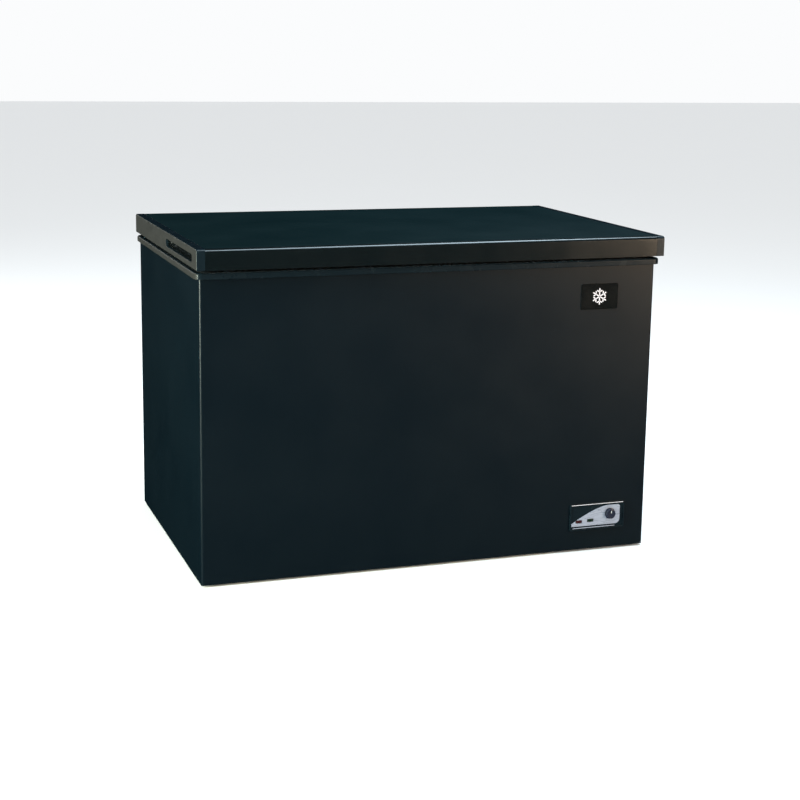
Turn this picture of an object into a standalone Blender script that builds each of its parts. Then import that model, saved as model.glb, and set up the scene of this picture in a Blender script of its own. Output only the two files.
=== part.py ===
"""Chest freezer: insulated tank in a steel cabinet, hinged lid, basket and cooling unit.

Metres, +Z up, front towards -Y. The origin is on the floor, under the middle of the overall box.
"""
import math

import bmesh
import bpy
from mathutils import Matrix, Vector

# overall sizes
CABINET_WIDTH = 1.220
CABINET_DEPTH = 0.780
OVERALL_HEIGHT = 0.850
CORNER_RADIUS = 0.007

# the stack from the floor up
FOOT_HEIGHT = 0.006
COLLAR_HEIGHT = 0.016
GASKET_HEIGHT = 0.008
LID_HEIGHT = 0.052

# sheets, walls and gaps
GAP = 0.0003
SHEET = 0.0008
WALL = 0.065
FLOOR = 0.065
STEP_COVER = 0.050
TANK_CORNER = 0.015
TANK_SEGMENTS = 3

# overhangs past the cabinet
LID_SIDE_OVERHANG = 0.012
LID_FRONT_OVERHANG = 0.028
COLLAR_OVERHANG = 0.011
HINGE_PROJECTION = 0.024

# machine compartment at the right-hand end
COMPARTMENT_WIDTH = 0.260
COMPARTMENT_HEIGHT = 0.270
DECK_THICKNESS = 0.0015

# collar and gasket
LEDGE_WIDTH = 0.010
LEDGE_DEPTH = 0.008
COLLAR_ROUNDING = 0.005
GASKET_INSET = 0.018
GASKET_WIDTH = 0.018

# lid
END_CAP_WIDTH = 0.022
RAIL_SHEET = 0.0012
RAIL_RADIUS = 0.008
RAIL_RETURN = 0.014
RAIL_STEP = 0.0011
PANEL_OVERLAP = 0.010
INNER_PANEL_SHEET = 0.0016
INNER_PANEL_BORDER = 0.085
INNER_PANEL_DISH = 0.005
GRIP_LENGTH = 0.320
GRIP_HEIGHT = 0.019
GRIP_DEPTH = 0.014
GRIP_FROM_FRONT = 0.050
GRIP_ABOVE_LID_BOTTOM = 0.0145

# cooling pipes in the walls
EVAPORATOR_TUBE = 0.008
EVAPORATOR_TURNS = 5
EVAPORATOR_ABOVE_STEP = 0.070
EVAPORATOR_BELOW_COLLAR = 0.078
CONDENSER_TUBE = 0.005
CONDENSER_RUNS = 4
CONDENSER_ABOVE_COMPARTMENT = 0.080
CONDENSER_BELOW_COLLAR = 0.118
PIPE_BEND = 0.030
PIPE_CLEARANCE = 0.001
DUCT_WIDTH = 0.014

# compressor and its mounting
COMPRESSOR_RADIUS = 0.078
COMPRESSOR_HEIGHT = 0.165
COMPRESSOR_FROM_RIGHT = 0.125
COMPRESSOR_FROM_BACK = 0.190
BRACKET_LENGTH = 0.190
BRACKET_WIDTH = 0.150
BRACKET_THICKNESS = 0.003
BRACKET_HOLE_INSET = 0.018
GROMMET_RADIUS = 0.012
GROMMET_NECK = 0.006
GROMMET_HEIGHT = 0.014
GROMMET_HEAD = 0.004
SHELL_FLANGE = 0.004
RELAY_SIZE = (0.050, 0.034, 0.060)
RELAY_CLEARANCE = 0.006
DRIER_RADIUS = 0.009
DRIER_LENGTH = 0.110
DRIER_FROM_WALL = 0.030
DRIER_BEFORE_COMPRESSOR = 0.070
DRIER_ABOVE_DECK = 0.060
PIPE_BELOW_ROOF = 0.018
PIPE_ELBOW = 0.012

# openings and covers
GRILLE_WIDTH = 0.220
GRILLE_HEIGHT = 0.120
GRILLE_THICKNESS = 0.0025
GRILLE_ABOVE_BASE = 0.080
GRILLE_SLOTS = 8
SLOT_HEIGHT = 0.006
COVER_MARGIN = 0.012
COVER_SLOTS = 6
COVER_SLOT_BAND = 0.088
CORD_INLET_SIZE = 0.026
CORD_INLET_OFFSET = 0.060
CORD_INLET_DEPTH = 0.008
CORD_RADIUS = 0.0045

# controls on the front, measured from the cabinet's right-hand edge
PANEL_WIDTH = 0.160
PANEL_HEIGHT = 0.073
PANEL_FROM_RIGHT = 0.061
PANEL_ABOVE_BASE = 0.053
PANEL_THICKNESS = 0.005
PANEL_RECESS = 0.002
PANEL_BORDER = 0.004
PANEL_WINDOW = (0.136, 0.050)
LABEL_THICKNESS = 0.0008
LABEL_CLEARANCE = 0.001
LABEL_FROM_BOTTOM = 0.012
LABEL_FROM_TOP = 0.003
LABEL_RIGHT_MARGIN = 0.008
LABEL_FOOT_CUT = 0.010
LABEL_POINT_RISE = 0.006
LAMP_RISE = 0.0015
LAMP_PROUD = 0.0006
LAMP_DEPTH = 0.003
BOARD_THICKNESS = 0.0016
LED_SIZE = (0.016, 0.006)
LED_LEFT = 0.026
LED_SPACING = 0.034
LED_HEIGHT = 0.025
KNOB_RADIUS = 0.015
KNOB_HEIGHT = 0.011
KNOB_LEFT = 0.117
KNOB_UP = 0.042
POINTER_WIDTH = 0.002
SPINDLE_RADIUS = 0.003
THERMOSTAT_SIZE = (0.044, 0.030, 0.036)
BADGE_WIDTH = 0.106
BADGE_HEIGHT = 0.068
BADGE_THICKNESS = 0.0015
BADGE_FROM_RIGHT = 0.105
BADGE_BELOW_COLLAR = 0.047

# drain through the rear wall
DRAIN_X = -0.400
DRAIN_RADIUS = 0.010
DRAIN_BORE = 0.0078
DRAIN_FLANGE = 0.015
DRAIN_FLANGE_THICKNESS = 0.002
DRAIN_CLEAR_OF_CORNER = 0.002
DRAIN_PROJECTION = 0.009
PLUG_CLEARANCE = 0.0002
PLUG_LENGTH = 0.012
PLUG_HEAD = 0.004
PLUG_HEAD_RADIUS = 0.013
PLUG_GRIP_RADIUS = 0.004
CAP_RADIUS = 0.013
CAP_END = 0.003

# hinges
HINGE_X = 0.400
HINGE_WIDTH = 0.060
HINGE_BASE_HEIGHT = 0.110
HINGE_PLATE = 0.002
PIN_RADIUS = 0.004
PIN_CLEARANCE = 0.0003
KNUCKLE_RADIUS = 0.007
PIN_BELOW_COLLAR_TOP = 0.008
LEAF_THICKNESS = 0.0025
LEAF_CLEARANCE = 0.004
SPRING_WIRE = 0.002
SPRING_TURNS = 4
SPRING_WINDOW = 0.020
CHEEK_TAPER = (0.008, 0.080)
PIN_PROUD = 0.002
LEAF_ABOVE_COLLAR = 0.001
LEAF_BEND = 0.006

# basket
BASKET_LENGTH = 0.260
BASKET_HEIGHT = 0.200
BASKET_WIRE = 0.005
BASKET_WALL = 0.004
BASKET_SIDE_CLEARANCE = 0.004
BASKET_END_CLEARANCE = 0.008

FOOT_RADIUS = 0.022
FOOT_INSET = 0.060

# levels and planes worked out from the sizes above
LID_BOTTOM = OVERALL_HEIGHT - LID_HEIGHT
COLLAR_TOP = LID_BOTTOM - GASKET_HEIGHT
COLLAR_BOTTOM = COLLAR_TOP - COLLAR_HEIGHT
BASE_Z = FOOT_HEIGHT
FRONT_Y = -(LID_FRONT_OVERHANG + CABINET_DEPTH + HINGE_PROJECTION) / 2 + LID_FRONT_OVERHANG
BACK_Y = FRONT_Y + CABINET_DEPTH
RIGHT_X = CABINET_WIDTH / 2
LID_RIGHT_X = RIGHT_X + LID_SIDE_OVERHANG
LID_FRONT_Y = FRONT_Y - LID_FRONT_OVERHANG
TANK_X = RIGHT_X - WALL
TANK_FRONT_Y = FRONT_Y + WALL
TANK_BACK_Y = BACK_Y - WALL
TANK_FLOOR_Z = BASE_Z + FLOOR
COMPARTMENT_X = RIGHT_X - COMPARTMENT_WIDTH
COMPARTMENT_TOP = BASE_Z + COMPARTMENT_HEIGHT
STEP_X = COMPARTMENT_X - STEP_COVER
STEP_Z = COMPARTMENT_TOP + STEP_COVER
RAIL_X = LID_RIGHT_X - END_CAP_WIDTH - GAP
HINGE_Y = BACK_Y + HINGE_PROJECTION / 2
HINGE_Z = COLLAR_TOP - PIN_BELOW_COLLAR_TOP
DECK_TOP = BASE_Z + DECK_THICKNESS
COMPRESSOR_X = RIGHT_X - COMPRESSOR_FROM_RIGHT
COMPRESSOR_Y = BACK_Y - COMPRESSOR_FROM_BACK
BRACKET_Z = DECK_TOP + GROMMET_HEIGHT - GROMMET_HEAD - BRACKET_THICKNESS
PANEL_LEFT_X = RIGHT_X - PANEL_FROM_RIGHT - PANEL_WIDTH
PANEL_BOTTOM_Z = BASE_Z + PANEL_ABOVE_BASE
DRAIN_Z = TANK_FLOOR_Z + TANK_CORNER + DRAIN_FLANGE + DRAIN_CLEAR_OF_CORNER
EVAPORATOR_Z = STEP_Z + EVAPORATOR_ABOVE_STEP
CONDENSER_Z = COMPARTMENT_TOP + CONDENSER_ABOVE_COMPARTMENT
EVAPORATOR_PITCH = (COLLAR_BOTTOM - EVAPORATOR_BELOW_COLLAR - EVAPORATOR_Z) / EVAPORATOR_TURNS
CONDENSER_PITCH = (COLLAR_BOTTOM - CONDENSER_BELOW_COLLAR - CONDENSER_Z) / (CONDENSER_RUNS - 1)
POCKET = EVAPORATOR_TUBE + 2 * PIPE_CLEARANCE
OUTER_POCKET = CONDENSER_TUBE + 2 * PIPE_CLEARANCE
OVERCUT = 0.010

for old in list(bpy.data.objects):
    bpy.data.objects.remove(old, do_unlink=True)

PARTS = bpy.data.collections.new("chest_freezer")
CUTTERS = bpy.data.collections.new("cutters")
for collection in (PARTS, CUTTERS):
    bpy.context.scene.collection.children.link(collection)


def material(name, colour, roughness, metallic=0.0):
    made = bpy.data.materials.new(name)
    made.use_nodes = True
    shader = made.node_tree.nodes["Principled BSDF"]
    shader.inputs["Base Color"].default_value = (*colour, 1.0)
    shader.inputs["Roughness"].default_value = roughness
    shader.inputs["Metallic"].default_value = metallic
    return made


BLACK_STEEL = material("black coated steel", (0.012, 0.020, 0.022), 0.40)
BLACK_PLASTIC = material("black plastic", (0.030, 0.032, 0.031), 0.55)
GREY_PLASTIC = material("grained grey plastic", (0.070, 0.070, 0.066), 0.65)
WHITE_PLASTIC = material("white plastic", (0.75, 0.76, 0.76), 0.35)
WHITE_SHEET = material("white coated aluminium", (0.72, 0.74, 0.75), 0.35, 0.1)
ZINC_STEEL = material("zinc plated steel", (0.52, 0.53, 0.55), 0.42, 1.0)
COPPER = material("copper", (0.72, 0.38, 0.22), 0.35, 1.0)
FOAM = material("insulation foam", (0.78, 0.68, 0.42), 0.95)
RUBBER = material("rubber", (0.030, 0.030, 0.032), 0.80)
GASKET_RUBBER = material("grey seal rubber", (0.10, 0.10, 0.105), 0.70)
LABEL = material("silver label", (0.48, 0.50, 0.56), 0.35, 0.2)
RED_LENS = material("red lens", (0.30, 0.02, 0.02), 0.20)
GREEN_LENS = material("green lens", (0.02, 0.18, 0.06), 0.20)
COATED_WIRE = material("white coated wire", (0.78, 0.79, 0.79), 0.35)


def place(name, mesh, finish):
    obj = bpy.data.objects.new(name, mesh)
    PARTS.objects.link(obj)
    if finish:
        mesh.materials.append(finish)
    return obj


def mesh_from(name, bm):
    bmesh.ops.recalc_face_normals(bm, faces=bm.faces)
    mesh = bpy.data.meshes.new(name)
    bm.to_mesh(mesh)
    bm.free()
    return mesh


def smooth(obj, angle=35):
    obj.data.shade_smooth()
    obj.data.set_sharp_from_angle(angle=math.radians(angle))
    return obj


def box(name, low, high, finish, rounding=0.0):
    low, high = Vector(low), Vector(high)
    size = high - low
    bm = bmesh.new()
    bmesh.ops.create_cube(bm, size=1.0, matrix=Matrix.Diagonal((*size, 1.0)))
    obj = place(name, mesh_from(name, bm), finish)
    obj.location = (low + high) / 2
    if rounding:
        bevel = obj.modifiers.new("rounded edges", "BEVEL")
        bevel.width = rounding
        bevel.segments = 2
    return obj


def prism(name, outline, axis, start, end, finish):
    """Extrude a closed outline along X, Y or Z; it is given in the other two axes, in XYZ order."""
    def point(pair, along):
        values = list(pair)
        values.insert("XYZ".index(axis), along)
        return values
    bm = bmesh.new()
    face = bm.faces.new([bm.verts.new(point(pair, start)) for pair in outline])
    walls = bmesh.ops.extrude_face_region(bm, geom=[face])
    step = Vector(point((0.0, 0.0), end - start))
    moved = [item for item in walls["geom"] if isinstance(item, bmesh.types.BMVert)]
    bmesh.ops.translate(bm, verts=moved, vec=step)
    return place(name, mesh_from(name, bm), finish)


def strip(name, path, axis, start, end, thickness, finish, side=-1.0):
    """Extrude an open path into a sheet, then thicken it to one side: -1 is inwards."""
    def point(pair, along):
        values = list(pair)
        values.insert("XYZ".index(axis), along)
        return values
    bm = bmesh.new()
    near = [bm.verts.new(point(pair, start)) for pair in path]
    far = [bm.verts.new(point(pair, end)) for pair in path]
    for i in range(len(path) - 1):
        bm.faces.new((near[i], near[i + 1], far[i + 1], far[i]))
    mesh = bpy.data.meshes.new(name)
    bm.to_mesh(mesh)
    bm.free()
    obj = place(name, mesh, finish)
    solid = obj.modifiers.new("sheet", "SOLIDIFY")
    solid.thickness = thickness
    solid.offset = side
    solid.use_even_offset = True
    return obj


def turned(name, profile, centre, axis, finish, steps=20):
    """Turn a profile of (radius, height) pairs, listed from the top down, about an axis."""
    bm = bmesh.new()
    points = [bm.verts.new((radius, 0.0, height)) for radius, height in profile]
    for upper, lower in zip(points, points[1:]):
        bm.edges.new((upper, lower))
    mesh = bpy.data.meshes.new(name)
    bm.to_mesh(mesh)
    bm.free()
    obj = place(name, mesh, finish)
    turn = obj.modifiers.new("turned", "SCREW")
    turn.steps = turn.render_steps = steps
    turn.use_merge_vertices = True
    turn.merge_threshold = 0.00001
    turn.use_smooth_shade = True
    obj.rotation_euler = Vector(axis).to_track_quat("Z", "Y").to_euler()
    obj.location = centre
    return obj


def rod(name, radius, centre, axis, length, finish, steps=20):
    """A plain cylinder that starts at centre and runs along the axis."""
    profile = [(0.0, length), (radius, length), (radius, 0.0), (0.0, 0.0)]
    return turned(name, profile, centre, axis, finish, steps)


def tube(name, points, radius, finish, resolution=2):
    curve = bpy.data.curves.new(name, "CURVE")
    curve.dimensions = "3D"
    curve.bevel_depth = radius
    curve.bevel_resolution = resolution
    curve.use_fill_caps = True
    spline = curve.splines.new("POLY")
    spline.points.add(len(points) - 1)
    for spot, point in zip(spline.points, points):
        spot.co = (*point, 1.0)
    curve.materials.append(finish)
    obj = bpy.data.objects.new(name, curve)
    PARTS.objects.link(obj)
    return obj


def boolean(target, other, operation="DIFFERENCE"):
    """Cut a target with another object, or join that object to it."""
    for holder in list(other.users_collection):
        holder.objects.unlink(other)
    CUTTERS.objects.link(other)
    other.hide_render = True
    other.display_type = "WIRE"
    step = target.modifiers.new(operation.lower(), "BOOLEAN")
    step.operation = operation
    step.object = other
    step.solver = "EXACT"
    return target


def arc(centre, radius, start, end, steps=4):
    """Points on an arc, with angles in degrees."""
    angles = [math.radians(start + (end - start) * i / steps) for i in range(steps + 1)]
    return [(centre[0] + radius * math.cos(a), centre[1] + radius * math.sin(a)) for a in angles]


def rounded_rectangle(low, high, radius, steps=4):
    (x0, y0), (x1, y1) = low, high
    return (arc((x1 - radius, y1 - radius), radius, 0, 90, steps)
            + arc((x0 + radius, y1 - radius), radius, 90, 180, steps)
            + arc((x0 + radius, y0 + radius), radius, 180, 270, steps)
            + arc((x1 - radius, y0 + radius), radius, 270, 360, steps))


def bent(points, radius, steps=3):
    """Round the corners of a path of straight runs with bends."""
    points = [Vector(point) for point in points]
    path = [points[0]]
    for before, corner, after in zip(points, points[1:], points[2:]):
        start = (before - corner).normalized() * radius
        end = (after - corner).normalized() * radius
        for i in range(steps + 1):
            t = i / steps
            path.append(corner + start * (1 - t) ** 2 + end * t ** 2)
    path.append(points[-1])
    return path


def cabinet_walls(inset, y_end):
    """Left wall, front and right wall of the cabinet as one path, with round front corners."""
    radius = CORNER_RADIUS - inset
    x, y = RIGHT_X - inset, FRONT_Y + inset
    return ([(-x, y_end)] + arc((-x + radius, y + radius), radius, 180, 270)
            + arc((x - radius, y + radius), radius, 270, 360) + [(x, y_end)])


def ring_plan(inset, radius):
    """Rounded rectangle inside the cabinet's outline by the same inset on each side."""
    return rounded_rectangle((-RIGHT_X + inset, FRONT_Y + inset), (RIGHT_X - inset, BACK_Y - inset), radius)


def tank_body(top):
    """The tank's room: floor, riser and step, with its lower and upright edges round."""
    outline = [(-TANK_X, TANK_FLOOR_Z), (STEP_X, TANK_FLOOR_Z), (STEP_X, STEP_Z), (TANK_X, STEP_Z),
               (TANK_X, top), (-TANK_X, top)]
    bm = bmesh.new()
    face = bm.faces.new([bm.verts.new((x, TANK_FRONT_Y, z)) for x, z in outline])
    walls = bmesh.ops.extrude_face_region(bm, geom=[face])
    moved = [item for item in walls["geom"] if isinstance(item, bmesh.types.BMVert)]
    bmesh.ops.translate(bm, verts=moved, vec=(0, TANK_BACK_Y - TANK_FRONT_Y, 0))
    bmesh.ops.recalc_face_normals(bm, faces=bm.faces)
    mouth = [f for f in bm.faces if all(v.co.z > top - GAP for v in f.verts)]
    edges = [e for e in bm.edges if not any(f in mouth for f in e.link_faces)]
    bmesh.ops.bevel(bm, geom=edges, offset=TANK_CORNER, segments=TANK_SEGMENTS, profile=0.5, affect="EDGES")
    return bm


def build_cabinet_shell():
    side_end = BACK_Y - SHEET - GAP
    top = COLLAR_BOTTOM - GAP
    wrap = strip("outer_wrap", cabinet_walls(0.0, side_end), "Z", BASE_Z, top, SHEET, BLACK_STEEL)
    window_x = PANEL_LEFT_X + (PANEL_WIDTH - PANEL_WINDOW[0]) / 2
    window_z = PANEL_BOTTOM_Z + (PANEL_HEIGHT - PANEL_WINDOW[1]) / 2
    boolean(wrap, box("panel_window", (window_x, FRONT_Y - OVERCUT, window_z),
                      (window_x + PANEL_WINDOW[0], FRONT_Y + OVERCUT, window_z + PANEL_WINDOW[1]), None))
    vent_half = GRILLE_WIDTH / 2 - COVER_MARGIN
    vent_low, vent_high = COVER_MARGIN, GRILLE_HEIGHT - COVER_MARGIN
    vent_base = BASE_Z + GRILLE_ABOVE_BASE
    boolean(wrap, box("side_vent_window", (RIGHT_X - OVERCUT, COMPRESSOR_Y - vent_half, vent_base + vent_low),
                      (RIGHT_X + OVERCUT, COMPRESSOR_Y + vent_half, vent_base + vent_high), None))

    rear = box("rear_panel", (-RIGHT_X, BACK_Y - SHEET, BASE_Z), (RIGHT_X, BACK_Y, top), BLACK_STEEL)
    edge = 2 * COVER_MARGIN
    boolean(rear, box("rear_window", (COMPARTMENT_X + edge, BACK_Y - OVERCUT, BASE_Z + edge),
                      (RIGHT_X - edge, BACK_Y + OVERCUT, COMPARTMENT_TOP - edge), None))
    boolean(rear, rod("rear_drain_hole", DRAIN_RADIUS + GAP, (DRAIN_X, BACK_Y - OVERCUT, DRAIN_Z),
                      (0, 1, 0), 2 * OVERCUT, None))

    inner = SHEET + GAP
    box("base_panel", (-RIGHT_X + inner, FRONT_Y + CORNER_RADIUS, BASE_Z),
        (COMPARTMENT_X - GAP, side_end, BASE_Z + SHEET), ZINC_STEEL)
    box("compressor_deck", (COMPARTMENT_X + inner, FRONT_Y + CORNER_RADIUS, BASE_Z),
        (RIGHT_X - inner, side_end, DECK_TOP), ZINC_STEEL)

    # vertical wall and roof between the foam and the machine compartment
    path = [(COMPARTMENT_X, BASE_Z), (COMPARTMENT_X, COMPARTMENT_TOP), (RIGHT_X - inner, COMPARTMENT_TOP)]
    wall = strip("compartment_wall", path, "Y", FRONT_Y + CORNER_RADIUS, side_end, SHEET, ZINC_STEEL)
    suction_x, discharge_x = pipe_columns()
    for name, x, radius in (("suction_hole", suction_x, EVAPORATOR_TUBE / 2),
                            ("discharge_hole", discharge_x, CONDENSER_TUBE / 2)):
        boolean(wall, rod(name, radius + PIPE_CLEARANCE, (x, COMPRESSOR_Y, COMPARTMENT_TOP - OVERCUT),
                          (0, 0, 1), 2 * OVERCUT, None, 12))


def pipe_columns():
    """X of the two upright pipes in the right-hand wall: suction by the tank, discharge by the sheet."""
    suction = TANK_X + SHEET + PIPE_CLEARANCE + EVAPORATOR_TUBE / 2
    discharge = RIGHT_X - SHEET - PIPE_CLEARANCE - CONDENSER_TUBE / 2
    return suction, discharge


def build_tank():
    top = COLLAR_BOTTOM - GAP
    bm = tank_body(top)
    mouth = [f for f in bm.faces if all(v.co.z > top - GAP for v in f.verts)]
    bmesh.ops.delete(bm, geom=mouth, context="FACES_ONLY")
    mesh = bpy.data.meshes.new("tank_liner")
    bm.to_mesh(mesh)
    bm.free()
    tank = place("tank_liner", mesh, WHITE_SHEET)
    sheet = tank.modifiers.new("sheet", "SOLIDIFY")
    sheet.thickness = SHEET
    sheet.offset = 1.0
    sheet.use_even_offset = True
    boolean(tank, rod("tank_drain_hole", DRAIN_RADIUS + GAP, (DRAIN_X, TANK_BACK_Y - OVERCUT, DRAIN_Z),
                      (0, 1, 0), 2 * OVERCUT, None))
    smooth(tank)


def build_foam():
    """Foam round the tank in five blocks that meet at the tank's planes."""
    inner = SHEET + GAP
    tank_left, tank_right = -TANK_X - inner, TANK_X + inner
    tank_front, tank_back = TANK_FRONT_Y - inner, TANK_BACK_Y + inner
    floor_z, step_z, riser_x = TANK_FLOOR_Z - inner, STEP_Z - inner, STEP_X + inner
    low, top = BASE_Z + inner, COLLAR_BOTTOM - GAP
    left, right, front, back = -RIGHT_X + inner, RIGHT_X - inner, FRONT_Y + inner, BACK_Y - inner
    wall_x = COMPARTMENT_X - GAP

    step_edge = arc((STEP_X + TANK_CORNER, STEP_Z - TANK_CORNER), TANK_CORNER - inner, 90, 180, TANK_SEGMENTS)
    sides = {
        "foam_left": [(left, floor_z + GAP), (tank_left, floor_z + GAP), (tank_left, top), (left, top)],
        "foam_right": [(riser_x, COMPARTMENT_TOP + GAP), (right, COMPARTMENT_TOP + GAP), (right, top),
                       (tank_right, top), (tank_right, step_z)] + step_edge,
        "foam_floor": [(left, low), (wall_x, low), (wall_x, COMPARTMENT_TOP), (riser_x, COMPARTMENT_TOP),
                       (riser_x, floor_z), (left, floor_z)],
    }
    blocks = {}
    for name, outline in sides.items():
        blocks[name] = prism(name, outline, "Y", front, back, FOAM)
        room = prism(f"{name}_room", cabinet_walls(inner, back + OVERCUT), "Z", low - OVERCUT, top + OVERCUT, None)
        boolean(blocks[name], room, "INTERSECT")
    wall = [(tank_left + GAP, floor_z + GAP), (riser_x - GAP, floor_z + GAP), (riser_x - GAP, step_z + GAP),
            (tank_right - GAP, step_z + GAP), (tank_right - GAP, top), (tank_left + GAP, top)]
    blocks["foam_front"] = prism("foam_front", wall, "Y", front, tank_front, FOAM)
    blocks["foam_rear"] = prism("foam_rear", wall, "Y", tank_back, back, FOAM)

    pocket = inner + POCKET
    coil_height = EVAPORATOR_TURNS * EVAPORATOR_PITCH
    coil_room = box("evaporator_pocket",
                    (-TANK_X - pocket, TANK_FRONT_Y - pocket, EVAPORATOR_Z - EVAPORATOR_TUBE),
                    (TANK_X + pocket, TANK_BACK_Y + pocket, EVAPORATOR_Z + coil_height + EVAPORATOR_TUBE), None)
    for name in ("foam_left", "foam_right", "foam_front", "foam_rear"):
        boolean(blocks[name], coil_room)
    low = CONDENSER_Z - CONDENSER_TUBE
    high = CONDENSER_Z + (CONDENSER_RUNS - 1) * CONDENSER_PITCH + CONDENSER_TUBE
    depth = inner + OUTER_POCKET
    x, y, y_end = RIGHT_X - depth, FRONT_Y + depth, BACK_Y - WALL / 2
    floor = [(-x, y_end, 0), (-x, y, 0), (x, y, 0), (x, y_end, 0)]
    floor = [point.xy for point in bent(floor, PIPE_BEND - CONDENSER_TUBE)]
    band = strip("condenser_pocket", floor, "Z", low, high, depth + GAP, None, side=1.0)
    for name in ("foam_left", "foam_right", "foam_front"):
        boolean(blocks[name], band)

    suction_x, discharge_x = pipe_columns()
    for name, x, top in (("suction_duct", suction_x, EVAPORATOR_Z), ("discharge_duct", discharge_x, CONDENSER_Z)):
        duct = box(name, (x - DUCT_WIDTH / 2, COMPRESSOR_Y - DUCT_WIDTH / 2, COMPARTMENT_TOP - OVERCUT),
                   (x + DUCT_WIDTH / 2, COMPRESSOR_Y + DUCT_WIDTH / 2, top), None)
        boolean(blocks["foam_right"], duct)
    boolean(blocks["foam_rear"], rod("foam_drain_hole", DRAIN_RADIUS + GAP, (DRAIN_X, TANK_BACK_Y - OVERCUT, DRAIN_Z),
                                     (0, 1, 0), WALL + 2 * OVERCUT, None))


def build_wall_pipes():
    """Evaporator wound round the tank, and condenser runs behind the front and side sheets."""
    suction_x, discharge_x = pipe_columns()
    offset = SHEET + PIPE_CLEARANCE + EVAPORATOR_TUBE / 2
    x, y0, y1 = TANK_X + offset, TANK_FRONT_Y - offset, TANK_BACK_Y + offset
    corners = [(x, y1), (-x, y1), (-x, y0), (x, y0)]
    winding = [Vector((x, COMPRESSOR_Y, EVAPORATOR_Z))]
    for turn in range(EVAPORATOR_TURNS):
        for i, (cx, cy) in enumerate(corners):
            winding.append(Vector((cx, cy, EVAPORATOR_Z + EVAPORATOR_PITCH * (turn + (i + 1) / 4))))
    winding.append(Vector((x, COMPRESSOR_Y, EVAPORATOR_Z + EVAPORATOR_PITCH * EVAPORATOR_TURNS)))
    bend = TANK_CORNER + EVAPORATOR_TUBE / 2
    tube("evaporator_coil", bent(winding, bend), EVAPORATOR_TUBE / 2, COPPER)

    offset = SHEET + PIPE_CLEARANCE + CONDENSER_TUBE / 2
    x, y = RIGHT_X - offset, FRONT_Y + offset
    y_end = BACK_Y - WALL
    runs = [Vector((discharge_x, COMPRESSOR_Y, CONDENSER_Z))]
    for run in range(CONDENSER_RUNS):
        z = CONDENSER_Z + run * CONDENSER_PITCH
        side = 1 if run % 2 == 0 else -1
        start = [] if run == 0 else [Vector((side * x, y_end, z))]
        runs += start + [Vector((side * x, y, z)), Vector((-side * x, y, z)), Vector((-side * x, y_end, z))]
    tube("condenser_coil", bent(runs, PIPE_BEND), CONDENSER_TUBE / 2, ZINC_STEEL)


def build_collar():
    inner = TANK_X
    overhang = COLLAR_OVERHANG
    radius = CORNER_RADIUS + overhang
    plan = rounded_rectangle((-RIGHT_X - overhang, FRONT_Y - overhang), (RIGHT_X + overhang, BACK_Y), radius)
    bm = bmesh.new()
    face = bm.faces.new([bm.verts.new((x, y, COLLAR_BOTTOM)) for x, y in plan])
    walls = bmesh.ops.extrude_face_region(bm, geom=[face])
    moved = [item for item in walls["geom"] if isinstance(item, bmesh.types.BMVert)]
    bmesh.ops.translate(bm, verts=moved, vec=(0, 0, COLLAR_HEIGHT))
    bmesh.ops.recalc_face_normals(bm, faces=bm.faces)
    top_edges = [e for e in bm.edges if all(v.co.z > COLLAR_BOTTOM + COLLAR_HEIGHT / 2 for v in e.verts)]
    bmesh.ops.bevel(bm, geom=top_edges, offset=COLLAR_ROUNDING, segments=3, profile=0.5, affect="EDGES")
    collar = place("top_collar", mesh_from("top_collar", bm), BLACK_PLASTIC)
    mouth = rounded_rectangle((-inner, TANK_FRONT_Y), (inner, TANK_BACK_Y), TANK_CORNER)
    boolean(collar, prism("collar_mouth", mouth, "Z", COLLAR_BOTTOM - OVERCUT, COLLAR_TOP + OVERCUT, None))
    ledge = rounded_rectangle((-inner - LEDGE_WIDTH, TANK_FRONT_Y - LEDGE_WIDTH),
                              (inner + LEDGE_WIDTH, TANK_BACK_Y + LEDGE_WIDTH), TANK_CORNER + LEDGE_WIDTH)
    boolean(collar, prism("collar_ledge", ledge, "Z", COLLAR_TOP - LEDGE_DEPTH, COLLAR_TOP + OVERCUT, None))
    smooth(collar)


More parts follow.
